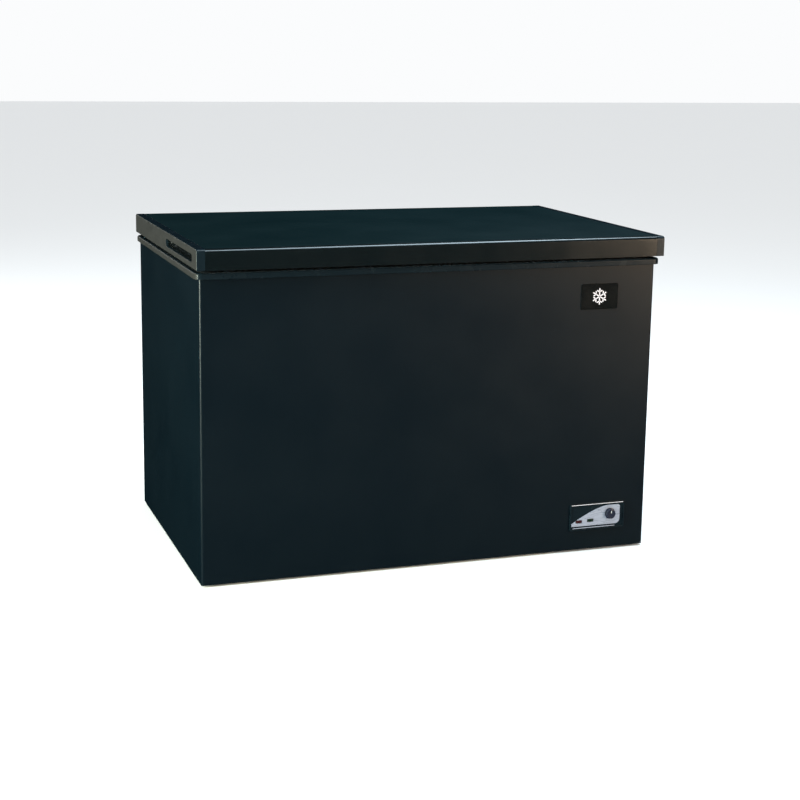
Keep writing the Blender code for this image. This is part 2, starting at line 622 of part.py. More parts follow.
def build_compressor():
    r, h = COMPRESSOR_RADIUS, COMPRESSOR_HEIGHT
    flange = r + SHELL_FLANGE
    profile = [(0.0, h), (0.30 * r, 0.985 * h), (0.62 * r, 0.93 * h), (0.86 * r, 0.82 * h), (0.97 * r, 0.68 * h),
               (r, 0.56 * h), (flange, 0.55 * h), (flange, 0.52 * h), (r, 0.51 * h), (r, 0.22 * h),
               (0.93 * r, 0.09 * h), (0.72 * r, 0.0), (0.0, 0.0)]
    bottom = BRACKET_Z + BRACKET_THICKNESS + GAP
    turned("compressor", profile, (COMPRESSOR_X, COMPRESSOR_Y, bottom), (0, 0, 1), BLACK_STEEL, 24)

    half_x, half_y = BRACKET_WIDTH / 2, BRACKET_LENGTH / 2
    bracket = box("compressor_bracket", (COMPRESSOR_X - half_x, COMPRESSOR_Y - half_y, BRACKET_Z),
                  (COMPRESSOR_X + half_x, COMPRESSOR_Y + half_y, BRACKET_Z + BRACKET_THICKNESS), BLACK_STEEL)
    waist = GROMMET_NECK
    low, high = BRACKET_Z - GAP - DECK_TOP - GAP, BRACKET_Z + BRACKET_THICKNESS + GAP - DECK_TOP - GAP
    rubber = [(0.0, high + GROMMET_HEAD), (0.75 * GROMMET_RADIUS, high + GROMMET_HEAD),
              (0.85 * GROMMET_RADIUS, high), (waist, high), (waist, low), (GROMMET_RADIUS, low),
              (GROMMET_RADIUS, 0.0), (0.0, 0.0)]
    number = 0
    for sx in (-1, 1):
        for sy in (-1, 1):
            number += 1
            x = COMPRESSOR_X + sx * (half_x - BRACKET_HOLE_INSET)
            y = COMPRESSOR_Y + sy * (half_y - BRACKET_HOLE_INSET)
            turned(f"compressor_grommet_{number}", rubber, (x, y, DECK_TOP + GAP), (0, 0, 1), RUBBER, 12)
            boolean(bracket, rod(f"bracket_hole_{number}", waist + 2 * GAP, (x, y, BRACKET_Z - OVERCUT),
                                 (0, 0, 1), 3 * OVERCUT, None, 16))

    # electrical box on the compressor's front side, drier and pipes
    wide, deep, tall = RELAY_SIZE
    relay_back = COMPRESSOR_Y - r - RELAY_CLEARANCE
    relay_z = bottom + 0.20 * h
    box("start_relay_box", (COMPRESSOR_X - wide / 2, relay_back - deep, relay_z),
        (COMPRESSOR_X + wide / 2, relay_back, relay_z + tall), BLACK_PLASTIC, 0.003)

    suction_x, discharge_x = pipe_columns()
    top_z = COMPARTMENT_TOP - PIPE_BELOW_ROOF
    shell_top = bottom + h + GAP
    suction_route = [(suction_x, COMPRESSOR_Y, EVAPORATOR_Z - EVAPORATOR_TUBE / 2 - GAP),
                     (suction_x, COMPRESSOR_Y, top_z), (COMPRESSOR_X, COMPRESSOR_Y, top_z),
                     (COMPRESSOR_X, COMPRESSOR_Y, shell_top)]
    tube("suction_pipe", bent(suction_route, PIPE_ELBOW), EVAPORATOR_TUBE / 2 - PIPE_CLEARANCE, COPPER)
    discharge_z = bottom + 0.40 * h
    discharge_route = [(discharge_x, COMPRESSOR_Y, CONDENSER_Z - CONDENSER_TUBE / 2 - GAP),
                       (discharge_x, COMPRESSOR_Y, discharge_z),
                       (COMPRESSOR_X + r + 2 * GAP, COMPRESSOR_Y, discharge_z)]
    tube("discharge_pipe", bent(discharge_route, PIPE_ELBOW), CONDENSER_TUBE / 2, COPPER)
    drier = [(0.0, DRIER_LENGTH), (0.35 * DRIER_RADIUS, DRIER_LENGTH), (DRIER_RADIUS, 0.85 * DRIER_LENGTH),
             (DRIER_RADIUS, 0.15 * DRIER_LENGTH), (0.35 * DRIER_RADIUS, 0.0), (0.0, 0.0)]
    drier_foot = (COMPARTMENT_X + DRIER_FROM_WALL, COMPRESSOR_Y - DRIER_BEFORE_COMPRESSOR,
                  DECK_TOP + DRIER_ABOVE_DECK)
    turned("filter_drier", drier, drier_foot, (0, 0, 1), COPPER, 14)


def slots(target, count, centre, axis_low, axis_high, low_z, high_z, depth):
    """Cut a column of level slots; centre is their middle across the plate's thickness."""
    pitch = (high_z - low_z) / count
    along = "x" if axis_low[1] == axis_high[1] else "y"
    for i in range(count):
        z = low_z + pitch * (i + 0.5)
        if along == "x":
            low = (axis_low[0], centre - depth, z - SLOT_HEIGHT / 2)
            high = (axis_high[0], centre + depth, z + SLOT_HEIGHT / 2)
        else:
            low = (centre - depth, axis_low[1], z - SLOT_HEIGHT / 2)
            high = (centre + depth, axis_high[1], z + SLOT_HEIGHT / 2)
        boolean(target, box(f"{target.name}_slot_{i}", low, high, None))


def build_covers():
    low_z = BASE_Z + GRILLE_ABOVE_BASE
    y0, y1 = COMPRESSOR_Y - GRILLE_WIDTH / 2, COMPRESSOR_Y + GRILLE_WIDTH / 2
    face = RIGHT_X + GAP
    grille = box("side_vent_grille", (face, y0, low_z), (face + GRILLE_THICKNESS, y1, low_z + GRILLE_HEIGHT),
                 BLACK_PLASTIC)
    edge = 2 * COVER_MARGIN
    slots(grille, GRILLE_SLOTS, face, (face, y0 + edge), (face, y1 - edge),
          low_z + COVER_MARGIN, low_z + GRILLE_HEIGHT - COVER_MARGIN, OVERCUT)

    x0, x1 = COMPARTMENT_X + COVER_MARGIN, RIGHT_X - COVER_MARGIN
    z0, z1 = BASE_Z + COVER_MARGIN, COMPARTMENT_TOP - COVER_MARGIN
    back = BACK_Y + GAP
    cover = box("rear_access_cover", (x0, back, z0), (x1, back + SHEET, z1), ZINC_STEEL)
    slots(cover, COVER_SLOTS, back, (x0 + 3 * COVER_MARGIN, back), (x1 - 3 * COVER_MARGIN, back),
          z1 - COVER_MARGIN - COVER_SLOT_BAND, z1 - COVER_MARGIN, OVERCUT)
    half = CORD_INLET_SIZE / 2
    inlet_x, inlet_z = COMPARTMENT_X + CORD_INLET_OFFSET, BASE_Z + CORD_INLET_OFFSET
    boolean(cover, box("cord_inlet_hole", (inlet_x - half, back - OVERCUT, inlet_z - half),
                       (inlet_x + half, back + OVERCUT, inlet_z + half), None))
    gland = box("cord_inlet", (inlet_x - half + GAP, back, inlet_z - half + GAP),
                (inlet_x + half - GAP, back + CORD_INLET_DEPTH, inlet_z + half - GAP), BLACK_PLASTIC, 0.002)
    boolean(gland, rod("cord_bore", CORD_RADIUS, (inlet_x, back - OVERCUT, inlet_z), (0, 1, 0), 3 * OVERCUT, None, 16))


def build_drain():
    inner_y = TANK_BACK_Y - GAP
    outer_y = BACK_Y + DRAIN_PROJECTION
    length = outer_y - inner_y
    flange = DRAIN_FLANGE_THICKNESS
    # outside from the outlet to the flange in the tank, then back along the bore
    profile = [(DRAIN_BORE, length), (DRAIN_RADIUS, length), (DRAIN_RADIUS, 0.0), (DRAIN_FLANGE, 0.0),
               (DRAIN_FLANGE, -flange), (DRAIN_BORE, -flange), (DRAIN_BORE, length)]
    turned("drain_tube", profile, (DRAIN_X, inner_y, DRAIN_Z), (0, 1, 0), WHITE_PLASTIC, 20)

    shank = DRAIN_BORE - PLUG_CLEARANCE
    seat_y = inner_y - flange - GAP
    plug = [(0.0, PLUG_LENGTH), (0.8 * shank, PLUG_LENGTH), (shank, 0.8 * PLUG_LENGTH), (shank, 0.0),
            (PLUG_HEAD_RADIUS, 0.0), (PLUG_HEAD_RADIUS, -PLUG_HEAD), (PLUG_GRIP_RADIUS, -PLUG_HEAD),
            (PLUG_GRIP_RADIUS, -2.5 * PLUG_HEAD), (0.0, -2.5 * PLUG_HEAD)]
    turned("drain_plug", plug, (DRAIN_X, seat_y, DRAIN_Z), (0, 1, 0), RUBBER, 20)

    depth = DRAIN_PROJECTION - 2 * GAP
    bore = DRAIN_RADIUS + PLUG_CLEARANCE
    cap = [(0.0, depth + CAP_END), (0.92 * CAP_RADIUS, depth + CAP_END), (CAP_RADIUS, depth + 0.7 * CAP_END),
           (CAP_RADIUS, 0.0), (bore, 0.0), (bore, depth + GAP), (0.0, depth + GAP)]
    turned("drain_cap", cap, (DRAIN_X, BACK_Y + 2 * GAP, DRAIN_Z), (0, 1, 0), BLACK_PLASTIC, 20)


def label_outline(clear):
    """Sail shape inside the panel's recess, in X and Z: long point at the left, square at the right."""
    left, right = PANEL_LEFT_X + PANEL_BORDER + clear, PANEL_LEFT_X + PANEL_WIDTH - PANEL_BORDER - clear
    low = PANEL_BOTTOM_Z + LABEL_FROM_BOTTOM
    high = PANEL_BOTTOM_Z + PANEL_HEIGHT - PANEL_BORDER - clear - LABEL_FROM_TOP
    edge = right - LABEL_RIGHT_MARGIN
    length, rise = edge - left, high - low - LABEL_POINT_RISE
    back = [(left + length * (1 - t), low + LABEL_POINT_RISE + rise * (1 - t) ** 0.8 * (1 - 0.28 * t))
            for t in (0.30, 0.45, 0.60, 0.75, 0.90, 1.0)]
    return [(left, low), (edge - LABEL_FOOT_CUT, low), (edge, low + LABEL_FOOT_CUT), (edge, high)] + back


def build_controls():
    face = FRONT_Y - GAP
    x0, z0 = PANEL_LEFT_X, PANEL_BOTTOM_Z
    outline = rounded_rectangle((x0, z0), (x0 + PANEL_WIDTH, z0 + PANEL_HEIGHT), PANEL_BORDER)
    bezel = prism("control_bezel", outline, "Y", face - PANEL_THICKNESS, face, BLACK_PLASTIC)
    border = PANEL_BORDER
    recess_y = face - PANEL_THICKNESS + PANEL_RECESS
    boolean(bezel, box("panel_recess", (x0 + border, face - PANEL_THICKNESS - OVERCUT, z0 + border),
                       (x0 + PANEL_WIDTH - border, recess_y, z0 + PANEL_HEIGHT - border), None))
    label_back = recess_y - GAP
    label = prism("control_label", label_outline(LABEL_CLEARANCE), "Y", label_back - LABEL_THICKNESS, label_back, LABEL)
    label_face = recess_y - GAP - LABEL_THICKNESS

    wide, tall = LED_SIZE
    lens_back = FRONT_Y + LAMP_DEPTH
    for i, (name, finish) in enumerate((("power_lamp", RED_LENS), ("run_lamp", GREEN_LENS))):
        cx, cz = x0 + LED_LEFT + i * LED_SPACING, z0 + LED_HEIGHT + LAMP_RISE * i
        low = (cx - wide / 2, label_face - LAMP_PROUD, cz - tall / 2)
        high = (cx + wide / 2, lens_back, cz + tall / 2)
        box(name, low, high, finish)
        for target in (label, bezel):
            boolean(target, box(f"{name}_{target.name}_hole",
                                (low[0] - GAP, face - PANEL_THICKNESS - OVERCUT, low[2] - GAP),
                                (high[0] + GAP, face + OVERCUT, high[2] + GAP), None))
    board_z = z0 + LED_HEIGHT
    box("lamp_board", (x0 + LED_LEFT - wide, lens_back + GAP, board_z - tall),
        (x0 + LED_LEFT + LED_SPACING + wide / 2, lens_back + GAP + BOARD_THICKNESS, board_z + tall), WHITE_PLASTIC)

    kx, kz = x0 + KNOB_LEFT, z0 + KNOB_UP
    spindle_hole = SPINDLE_RADIUS + 2 * GAP
    for target in (label, bezel):
        boolean(target, rod(f"spindle_{target.name}_hole", spindle_hole, (kx, face - PANEL_THICKNESS - OVERCUT, kz),
                            (0, 1, 0), 3 * OVERCUT, None))
    wide, deep, tall = THERMOSTAT_SIZE
    box("thermostat_body", (kx - wide / 2, FRONT_Y, kz - tall / 2), (kx + wide / 2, FRONT_Y + deep, kz + tall / 2),
        ZINC_STEEL)
    knob_back = label_face - 2 * GAP
    r, h = KNOB_RADIUS, KNOB_HEIGHT
    profile = [(0.0, h), (0.72 * r, h), (0.82 * r, 0.94 * h), (0.86 * r, 0.30 * h), (r, 0.18 * h), (r, 0.0), (0.0, 0.0)]
    knob = turned("thermostat_knob", profile, (kx, knob_back, kz), (0, -1, 0), BLACK_PLASTIC, 24)
    boolean(knob, box("knob_pointer_slot", (kx - POINTER_WIDTH / 2, knob_back - 2 * h, kz + 0.35 * r),
                      (kx + POINTER_WIDTH / 2, knob_back - 0.92 * h, kz + 2 * r), None))
    rod("thermostat_spindle", SPINDLE_RADIUS, (kx, FRONT_Y - GAP, kz), (0, -1, 0),
        FRONT_Y - GAP - knob_back - GAP, ZINC_STEEL, 14)

    bx1, bz1 = RIGHT_X - BADGE_FROM_RIGHT, COLLAR_BOTTOM - BADGE_BELOW_COLLAR
    box("badge_plate", (bx1 - BADGE_WIDTH, face - BADGE_THICKNESS, bz1 - BADGE_HEIGHT), (bx1, face, bz1),
        BLACK_PLASTIC, 0.0005)


def lid_section(top, inset=0.0):
    """Outline of the lid in Y and Z with round upper corners, from the front foot to the rear foot."""
    r = RAIL_RADIUS - inset
    y0, y1 = LID_FRONT_Y + inset, BACK_Y - inset
    return ([(y0, LID_BOTTOM + inset)] + arc((y0 + r, top - inset - r), r, 180, 90)
            + arc((y1 - r, top - inset - r), r, 90, 0) + [(y1, LID_BOTTOM + inset)])


def build_lid():
    rail_top = OVERALL_HEIGHT - RAIL_STEP
    outline = lid_section(rail_top)
    half = len(outline) // 2
    back_return = (BACK_Y - RAIL_RETURN, LID_BOTTOM)
    front_return = (LID_FRONT_Y + RAIL_RETURN, LID_BOTTOM)
    front = [front_return] + outline[:half] + [(LID_FRONT_Y + 2 * RAIL_RETURN, rail_top)]
    rear = [(BACK_Y - 2 * RAIL_RETURN, rail_top)] + outline[half:] + [back_return]
    for name, path in (("lid_front_rail", front), ("lid_rear_rail", rear)):
        rail = strip(name, path, "X", RAIL_X, -RAIL_X, RAIL_SHEET, BLACK_STEEL)
        smooth(rail)

    box("lid_top_panel", (-RAIL_X, LID_FRONT_Y + PANEL_OVERLAP, OVERALL_HEIGHT - SHEET),
        (RAIL_X, BACK_Y - PANEL_OVERLAP, OVERALL_HEIGHT), BLACK_STEEL)

    bottom = LID_BOTTOM + INNER_PANEL_SHEET + GAP
    filling = [(y, max(z, bottom)) for y, z in lid_section(rail_top, RAIL_SHEET + GAP)]
    prism("lid_foam", filling, "X", -RAIL_X, RAIL_X, FOAM)

    # inner panel with a dished middle, inside the rails' returns
    y0, y1 = LID_FRONT_Y + RAIL_RETURN + GAP, BACK_Y - RAIL_RETURN - GAP
    bm = bmesh.new()
    face = bm.faces.new([bm.verts.new((x, y, LID_BOTTOM + INNER_PANEL_SHEET)) for x, y in
                         ((-RAIL_X, y0), (RAIL_X, y0), (RAIL_X, y1), (-RAIL_X, y1))])
    for width, depth in ((INNER_PANEL_BORDER, 0.0), (2 * INNER_PANEL_DISH, -INNER_PANEL_DISH)):
        face.normal_update()
        bmesh.ops.inset_individual(bm, faces=[face], thickness=width, depth=depth, use_even_offset=True)
    mesh = bpy.data.meshes.new("lid_inner_panel")
    bm.to_mesh(mesh)
    bm.free()
    inner = place("lid_inner_panel", mesh, WHITE_PLASTIC)
    sheet = inner.modifiers.new("sheet", "SOLIDIFY")
    sheet.thickness = INNER_PANEL_SHEET
    sheet.offset = -1.0

    gasket_top = LID_BOTTOM - GAP
    gasket = prism("lid_gasket", ring_plan(GASKET_INSET, TANK_CORNER), "Z", COLLAR_TOP + GAP, gasket_top, GASKET_RUBBER)
    boolean(gasket, prism("gasket_middle", ring_plan(GASKET_INSET + GASKET_WIDTH, TANK_CORNER - GASKET_WIDTH / 2),
                          "Z", COLLAR_TOP - OVERCUT, gasket_top + OVERCUT, None))

    for side, sign in (("left", -1), ("right", 1)):
        build_end_cap(side, sign)


def build_end_cap(side, sign):
    """Moulded end of the lid, with a long finger recess in its outer face."""
    outer = LID_RIGHT_X
    inner = LID_RIGHT_X - END_CAP_WIDTH
    cap = prism(f"lid_end_cap_{side}", lid_section(OVERALL_HEIGHT), "X", sign * inner, sign * outer, GREY_PLASTIC)
    bm = bmesh.new()
    bm.from_mesh(cap.data)
    rim = [e for e in bm.edges if all(abs(v.co.x) > (inner + outer) / 2 for v in e.verts)]
    bmesh.ops.bevel(bm, geom=rim, offset=0.003, segments=2, profile=0.5, affect="EDGES")
    bmesh.ops.recalc_face_normals(bm, faces=bm.faces)
    bm.to_mesh(cap.data)
    bm.free()
    y0 = LID_FRONT_Y + GRIP_FROM_FRONT
    z0 = LID_BOTTOM + GRIP_ABOVE_LID_BOTTOM
    mouth = rounded_rectangle((y0, z0), (y0 + GRIP_LENGTH, z0 + GRIP_HEIGHT), GRIP_HEIGHT * 0.49, 4)
    boolean(cap, prism(f"grip_{side}", mouth, "X", sign * (outer - GRIP_DEPTH), sign * (outer + OVERCUT), None))
    smooth(cap)


def build_hinge(side, sign):
    x = sign * HINGE_X
    half = HINGE_WIDTH / 2
    plate_y = BACK_Y + GAP
    # bracket on the rear panel: back plate and two cheeks that hold the pin
    base = box(f"hinge_base_{side}", (x - half, plate_y, HINGE_Z - HINGE_BASE_HEIGHT),
               (x + half, plate_y + HINGE_PLATE, HINGE_Z - PIN_BELOW_COLLAR_TOP), ZINC_STEEL)
    low_z = HINGE_Z - HINGE_BASE_HEIGHT
    outer_y = BACK_Y + HINGE_PROJECTION
    crown = HINGE_PROJECTION / 2 - GAP
    cheek = ([(plate_y, low_z), (outer_y - CHEEK_TAPER[0], low_z), (outer_y, low_z + CHEEK_TAPER[1])]
             + arc((HINGE_Y, HINGE_Z), HINGE_PROJECTION / 2, 0, 90)
             + [(HINGE_Y - 0.5 * crown, HINGE_Z + 0.8 * crown), (plate_y, HINGE_Z - HINGE_PLATE)])
    for number, edge in (("outer", -half), ("inner", half - HINGE_PLATE)):
        joined = prism(f"cheek_{side}_{number}", cheek, "X", x + edge, x + edge + HINGE_PLATE, None)
        boolean(base, joined, "UNION")
    boolean(base, rod(f"base_pin_hole_{side}", PIN_RADIUS + PIN_CLEARANCE, (x - half - OVERCUT, HINGE_Y, HINGE_Z),
                      (1, 0, 0), HINGE_WIDTH + 2 * OVERCUT, None, 24))
    rod(f"hinge_pin_{side}", PIN_RADIUS, (x - half - PIN_PROUD, HINGE_Y, HINGE_Z), (1, 0, 0),
        HINGE_WIDTH + 2 * PIN_PROUD, ZINC_STEEL, 24)

    # leaf on the lid: arm behind the rear rail, wrapped round the pin, open in the middle for the spring
    leaf_half = half - HINGE_PLATE - LEAF_CLEARANCE
    arm_y = BACK_Y + GAP
    arm_low = COLLAR_TOP + LEAF_ABOVE_COLLAR
    arm_top = OVERALL_HEIGHT - RAIL_RADIUS - PIN_PROUD
    leaf_outline = ([(arm_y, arm_top), (arm_y, arm_low)]
                    + arc((HINGE_Y, HINGE_Z), KNUCKLE_RADIUS, 195, 400, 12)
                    + [(arm_y + LEAF_THICKNESS, arm_low + LEAF_BEND), (arm_y + LEAF_THICKNESS, arm_top)])
    leaf = prism(f"hinge_leaf_{side}", leaf_outline, "X", x - leaf_half, x + leaf_half, ZINC_STEEL)
    boolean(leaf, rod(f"leaf_pin_hole_{side}", PIN_RADIUS + PIN_CLEARANCE, (x - half, HINGE_Y, HINGE_Z),
                      (1, 0, 0), HINGE_WIDTH, None, 24))
    window = SPRING_WINDOW / 2
    boolean(leaf, box(f"spring_window_{side}", (x - window, HINGE_Y - 2 * KNUCKLE_RADIUS, HINGE_Z - 2 * KNUCKLE_RADIUS),
                      (x + window, HINGE_Y + 2 * KNUCKLE_RADIUS, arm_low + LEAF_BEND + HINGE_PLATE), None))

    coil_radius = PIN_RADIUS + PIN_CLEARANCE + SPRING_WIRE / 2 + GAP
    per_turn = 10
    span = SPRING_WINDOW - 3 * SPRING_WIRE
    count = SPRING_TURNS * per_turn
    points = []
    for i in range(count + 1):
        turn = 2 * math.pi * i / per_turn
        points.append((x - span / 2 + span * i / count, HINGE_Y + coil_radius * math.cos(turn),
                       HINGE_Z + coil_radius * math.sin(turn)))
    tube(f"hinge_spring_{side}", points, SPRING_WIRE / 2, ZINC_STEEL, 1)


def hang_lid():
    """Carry every piece of the lid on an empty that stands on the hinge axis."""
    axis = bpy.data.objects.new("lid_hinge_axis", None)
    PARTS.objects.link(axis)
    axis.location = (0.0, HINGE_Y, HINGE_Z)
    for piece in list(PARTS.objects):
        if piece.name.startswith(("lid_", "hinge_leaf_")) and piece is not axis:
            piece.parent = axis
            piece.matrix_parent_inverse = Matrix.Translation(-axis.location)


def build_basket():
    """Open basket under the lid; its two long rim wires run on the collar's ledges."""
    x1 = TANK_X - BASKET_END_CLEARANCE
    x0 = x1 - BASKET_LENGTH
    y0, y1 = TANK_FRONT_Y + BASKET_SIDE_CLEARANCE, TANK_BACK_Y - BASKET_SIDE_CLEARANCE
    rim_z = COLLAR_TOP - LEDGE_DEPTH + GAP
    basket = box("wire_basket", (x0, y0, rim_z + BASKET_WIRE - BASKET_HEIGHT), (x1, y1, rim_z + BASKET_WIRE), COATED_WIRE)
    wall = BASKET_WALL
    boolean(basket, box("basket_inside", (x0 + wall, y0 + wall, rim_z + BASKET_WIRE - BASKET_HEIGHT + wall),
                        (x1 - wall, y1 - wall, rim_z + BASKET_WIRE + OVERCUT), None))
    reach = BASKET_SIDE_CLEARANCE + LEDGE_WIDTH - 2 * PIPE_CLEARANCE
    bend = TANK_CORNER + LEDGE_WIDTH
    for name, low_y, high_y in (("front", y0 - reach, y0 + wall / 2), ("rear", y1 - wall / 2, y1 + reach)):
        boolean(basket, box(f"basket_rim_{name}", (x0 + bend, low_y, rim_z), (x1 - bend, high_y, rim_z + BASKET_WIRE),
                            None), "UNION")


def build_feet():
    profile = [(0.0, FOOT_HEIGHT - GAP), (0.8 * FOOT_RADIUS, FOOT_HEIGHT - GAP), (FOOT_RADIUS, 0.35 * FOOT_HEIGHT),
               (FOOT_RADIUS, 0.0), (0.0, 0.0)]
    x, front, back = RIGHT_X - FOOT_INSET, FRONT_Y + FOOT_INSET, BACK_Y - FOOT_INSET
    spots = {"front_left": (-x, front), "front_right": (x, front), "rear_left": (-x, back), "rear_right": (x, back)}
    for name, (fx, fy) in spots.items():
        turned(f"foot_{name}", profile, (fx, fy, 0.0), (0, 0, 1), BLACK_PLASTIC, 20)


build_cabinet_shell()
build_tank()
build_foam()
build_wall_pipes()
build_collar()
build_compressor()
build_covers()
build_drain()
build_controls()
build_lid()
for hinge_side, hinge_sign in (("left", -1), ("right", 1)):
    build_hinge(hinge_side, hinge_sign)
hang_lid()
build_basket()
build_feet()
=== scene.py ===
import math

import bmesh
import bpy
from mathutils import Matrix, Vector


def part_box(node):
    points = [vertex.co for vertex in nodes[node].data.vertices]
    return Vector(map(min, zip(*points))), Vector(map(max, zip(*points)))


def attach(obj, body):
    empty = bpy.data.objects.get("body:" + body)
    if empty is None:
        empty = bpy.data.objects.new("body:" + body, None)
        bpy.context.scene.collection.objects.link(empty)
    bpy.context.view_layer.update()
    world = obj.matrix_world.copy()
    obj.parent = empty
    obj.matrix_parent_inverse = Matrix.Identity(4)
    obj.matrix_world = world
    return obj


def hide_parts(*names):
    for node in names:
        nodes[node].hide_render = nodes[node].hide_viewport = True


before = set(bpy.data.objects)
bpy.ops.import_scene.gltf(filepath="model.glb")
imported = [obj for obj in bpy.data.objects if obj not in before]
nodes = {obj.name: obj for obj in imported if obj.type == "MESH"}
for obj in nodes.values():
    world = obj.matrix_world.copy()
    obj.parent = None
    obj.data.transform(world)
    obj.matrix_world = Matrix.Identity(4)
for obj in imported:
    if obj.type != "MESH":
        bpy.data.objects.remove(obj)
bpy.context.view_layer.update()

print("frame loaded:", len(nodes), "CAD nodes")


# small tools used by every piece

def hexToLinear(hexText):
    channels = [int(hexText[i:i + 2], 16) / 255 for i in (1, 3, 5)]
    return [c / 12.92 if c <= 0.04045 else ((c + 0.055) / 1.055) ** 2.4 for c in channels] + [1.0]


def perMm(size):  # texture scale for a feature this many mm across
    return 1000.0 / size


def addNode(tree, kind, settings=None, links=None):
    node = tree.nodes.new(kind)
    for name, value in (settings or {}).items():
        if isinstance(name, str) and hasattr(node, name):
            setattr(node, name, value)
        else:
            node.inputs[name].default_value = value
    for name, source in (links or {}).items():
        tree.links.new(source, node.inputs[name])
    return node


def makeFinish(name, look):
    # one surface recipe: two close tones in soft clouds, gloss that drifts with them, and a fine relief
    material = bpy.data.materials.new(name)
    material.use_nodes = True
    tree = material.node_tree
    shader = tree.nodes["Principled BSDF"]
    for socket, value in look.get("shader", {}).items():
        shader.inputs[socket].default_value = value
    coordinates = addNode(tree, "ShaderNodeTexCoord")
    spot = addNode(tree, "ShaderNodeMapping", {"Scale": look.get("stretch", (1.0, 1.0, 1.0))},
                   {"Vector": coordinates.outputs["Object"]})
    place = {"Vector": spot.outputs["Vector"]}
    cloud = addNode(tree, "ShaderNodeTexNoise",
                    {"Scale": perMm(look["cloudMm"]), "Detail": 4.0, "Roughness": 0.55}, place)
    dark, pale = (hexToLinear(tone) for tone in look["tones"])
    tone = addNode(tree, "ShaderNodeMix", {"data_type": "RGBA", 6: dark, 7: pale}, {0: cloud.outputs["Fac"]})
    smooth, rough = look["roughness"]
    gloss = addNode(tree, "ShaderNodeMapRange",
                    {"From Min": 0.3, "From Max": 0.7, "To Min": smooth, "To Max": rough},
                    {"Value": cloud.outputs["Fac"]})
    if look.get("pattern") == "cells":  # embossed or crystalline cells
        grain = addNode(tree, "ShaderNodeTexVoronoi",
                        {"Scale": perMm(look["grainMm"]), "feature": "SMOOTH_F1"}, place)
        height = grain.outputs["Distance"]
    else:
        grain = addNode(tree, "ShaderNodeTexNoise",
                        {"Scale": perMm(look["grainMm"]), "Detail": 2.5, "Roughness": 0.6}, place)
        height = grain.outputs["Fac"]
    relief = addNode(tree, "ShaderNodeBump", {"Strength": 1.0, "Distance": look["reliefMm"] / 1000},
                     {"Height": height})
    tree.links.new(tone.outputs[2], shader.inputs["Base Color"])
    tree.links.new(gloss.outputs["Result"], shader.inputs["Roughness"])
    tree.links.new(relief.outputs["Normal"], shader.inputs["Normal"])
    return material


def dress(nodeName, finish, softEdge=0.0):
    # a CAD node that keeps its shape gets a real finish, and edges that catch light
    for holder in nodes[nodeName].material_slots:
        holder.material = finish
    if softEdge:
        edge = nodes[nodeName].modifiers.new("soft edge", "BEVEL")
        edge.width = softEdge
        edge.segments = 2
        edge.limit_method = "ANGLE"
        edge.angle_limit = math.radians(50)


def linkObject(name, data):
    thing = bpy.data.objects.new(name, data)
    bpy.context.scene.collection.objects.link(thing)
    return thing


def meshObject(name, bm):
    mesh = bpy.data.meshes.new(name)
    bm.to_mesh(mesh)
    bm.free()
    return linkObject(name, mesh)


def addPiece(name, bm, finishes, body, replaced=(), sharpAngle=35, recalc=True):
    if recalc:
        bmesh.ops.recalc_face_normals(bm, faces=bm.faces)
    piece = meshObject(name, bm)
    for finish in finishes if isinstance(finishes, list) else [finishes]:
        piece.data.materials.append(finish)
    smoothOver(piece, sharpAngle)
    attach(piece, body)
    if replaced:
        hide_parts(*replaced)
    return piece


def smoothOver(piece, sharpAngle=35):
    # curves shade smooth, corners stay crisp, and broad flat faces keep their own normal
    piece.data.shade_smooth()
    piece.data.set_sharp_from_angle(angle=math.radians(sharpAngle))
    weights = piece.modifiers.new("flat faces stay flat", "WEIGHTED_NORMAL")
    weights.keep_sharp = True
    weights.weight = 90


def thicken(piece, thickness, side):
    piece.modifiers.clear()
    sheet = piece.modifiers.new("sheet thickness", "SOLIDIFY")
    sheet.thickness = thickness
    sheet.offset = side
    sheet.use_even_offset = True
    settle(piece)


def settle(piece):
    # the modifiers' result becomes the mesh
    bpy.context.view_layer.update()
    done = bpy.data.meshes.new_from_object(piece.evaluated_get(bpy.context.evaluated_depsgraph_get()))
    piece.modifiers.clear()
    piece.data = done
    smoothOver(piece)


def arcPoints(centre, radius, start, end, steps=8):
    angles = [math.radians(start + (end - start) * i / steps) for i in range(steps + 1)]
    return [(centre[0] + radius * math.cos(a), centre[1] + radius * math.sin(a)) for a in angles]


def roundedRect(low, high, radius, steps=8):
    (x0, y0), (x1, y1) = low, high
    return (arcPoints((x1 - radius, y1 - radius), radius, 0, 90, steps)
            + arcPoints((x0 + radius, y1 - radius), radius, 90, 180, steps)
            + arcPoints((x0 + radius, y0 + radius), radius, 180, 270, steps)
            + arcPoints((x1 - radius, y0 + radius), radius, 270, 360, steps))


def outlineRing(low, high, flat, inset, level, radius, steps=8):
    # a rounded outline drawn in from a box's sides, at one level along the flat axis (0, 1 or 2)
    a, b = [axis for axis in (0, 1, 2) if axis != flat]
    plan = roundedRect((low[a] + inset, low[b] + inset), (high[a] - inset, high[b] - inset), radius, steps)
    return [(*point[:flat], level, *point[flat:]) for point in plan]


def middleOf(nodeName):  # x, y, z at the middle of a node's box
    return [(a + b) / 2 for a, b in zip(*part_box(nodeName))]


def scaled(shares, radius, height):  # a turned profile, from shares of its radius and height
    return [(across * radius, along * height) for across, along in shares]


def bentPath(points, radius, steps=5):
    points = [Vector(point) for point in points]
    path = [points[0]]
    for before, corner, after in zip(points, points[1:], points[2:]):
        start = (before - corner).normalized() * radius
        end = (after - corner).normalized() * radius
        path += [corner + start * (1 - i / steps) ** 2 + end * (i / steps) ** 2 for i in range(steps + 1)]
    return path + [points[-1]]


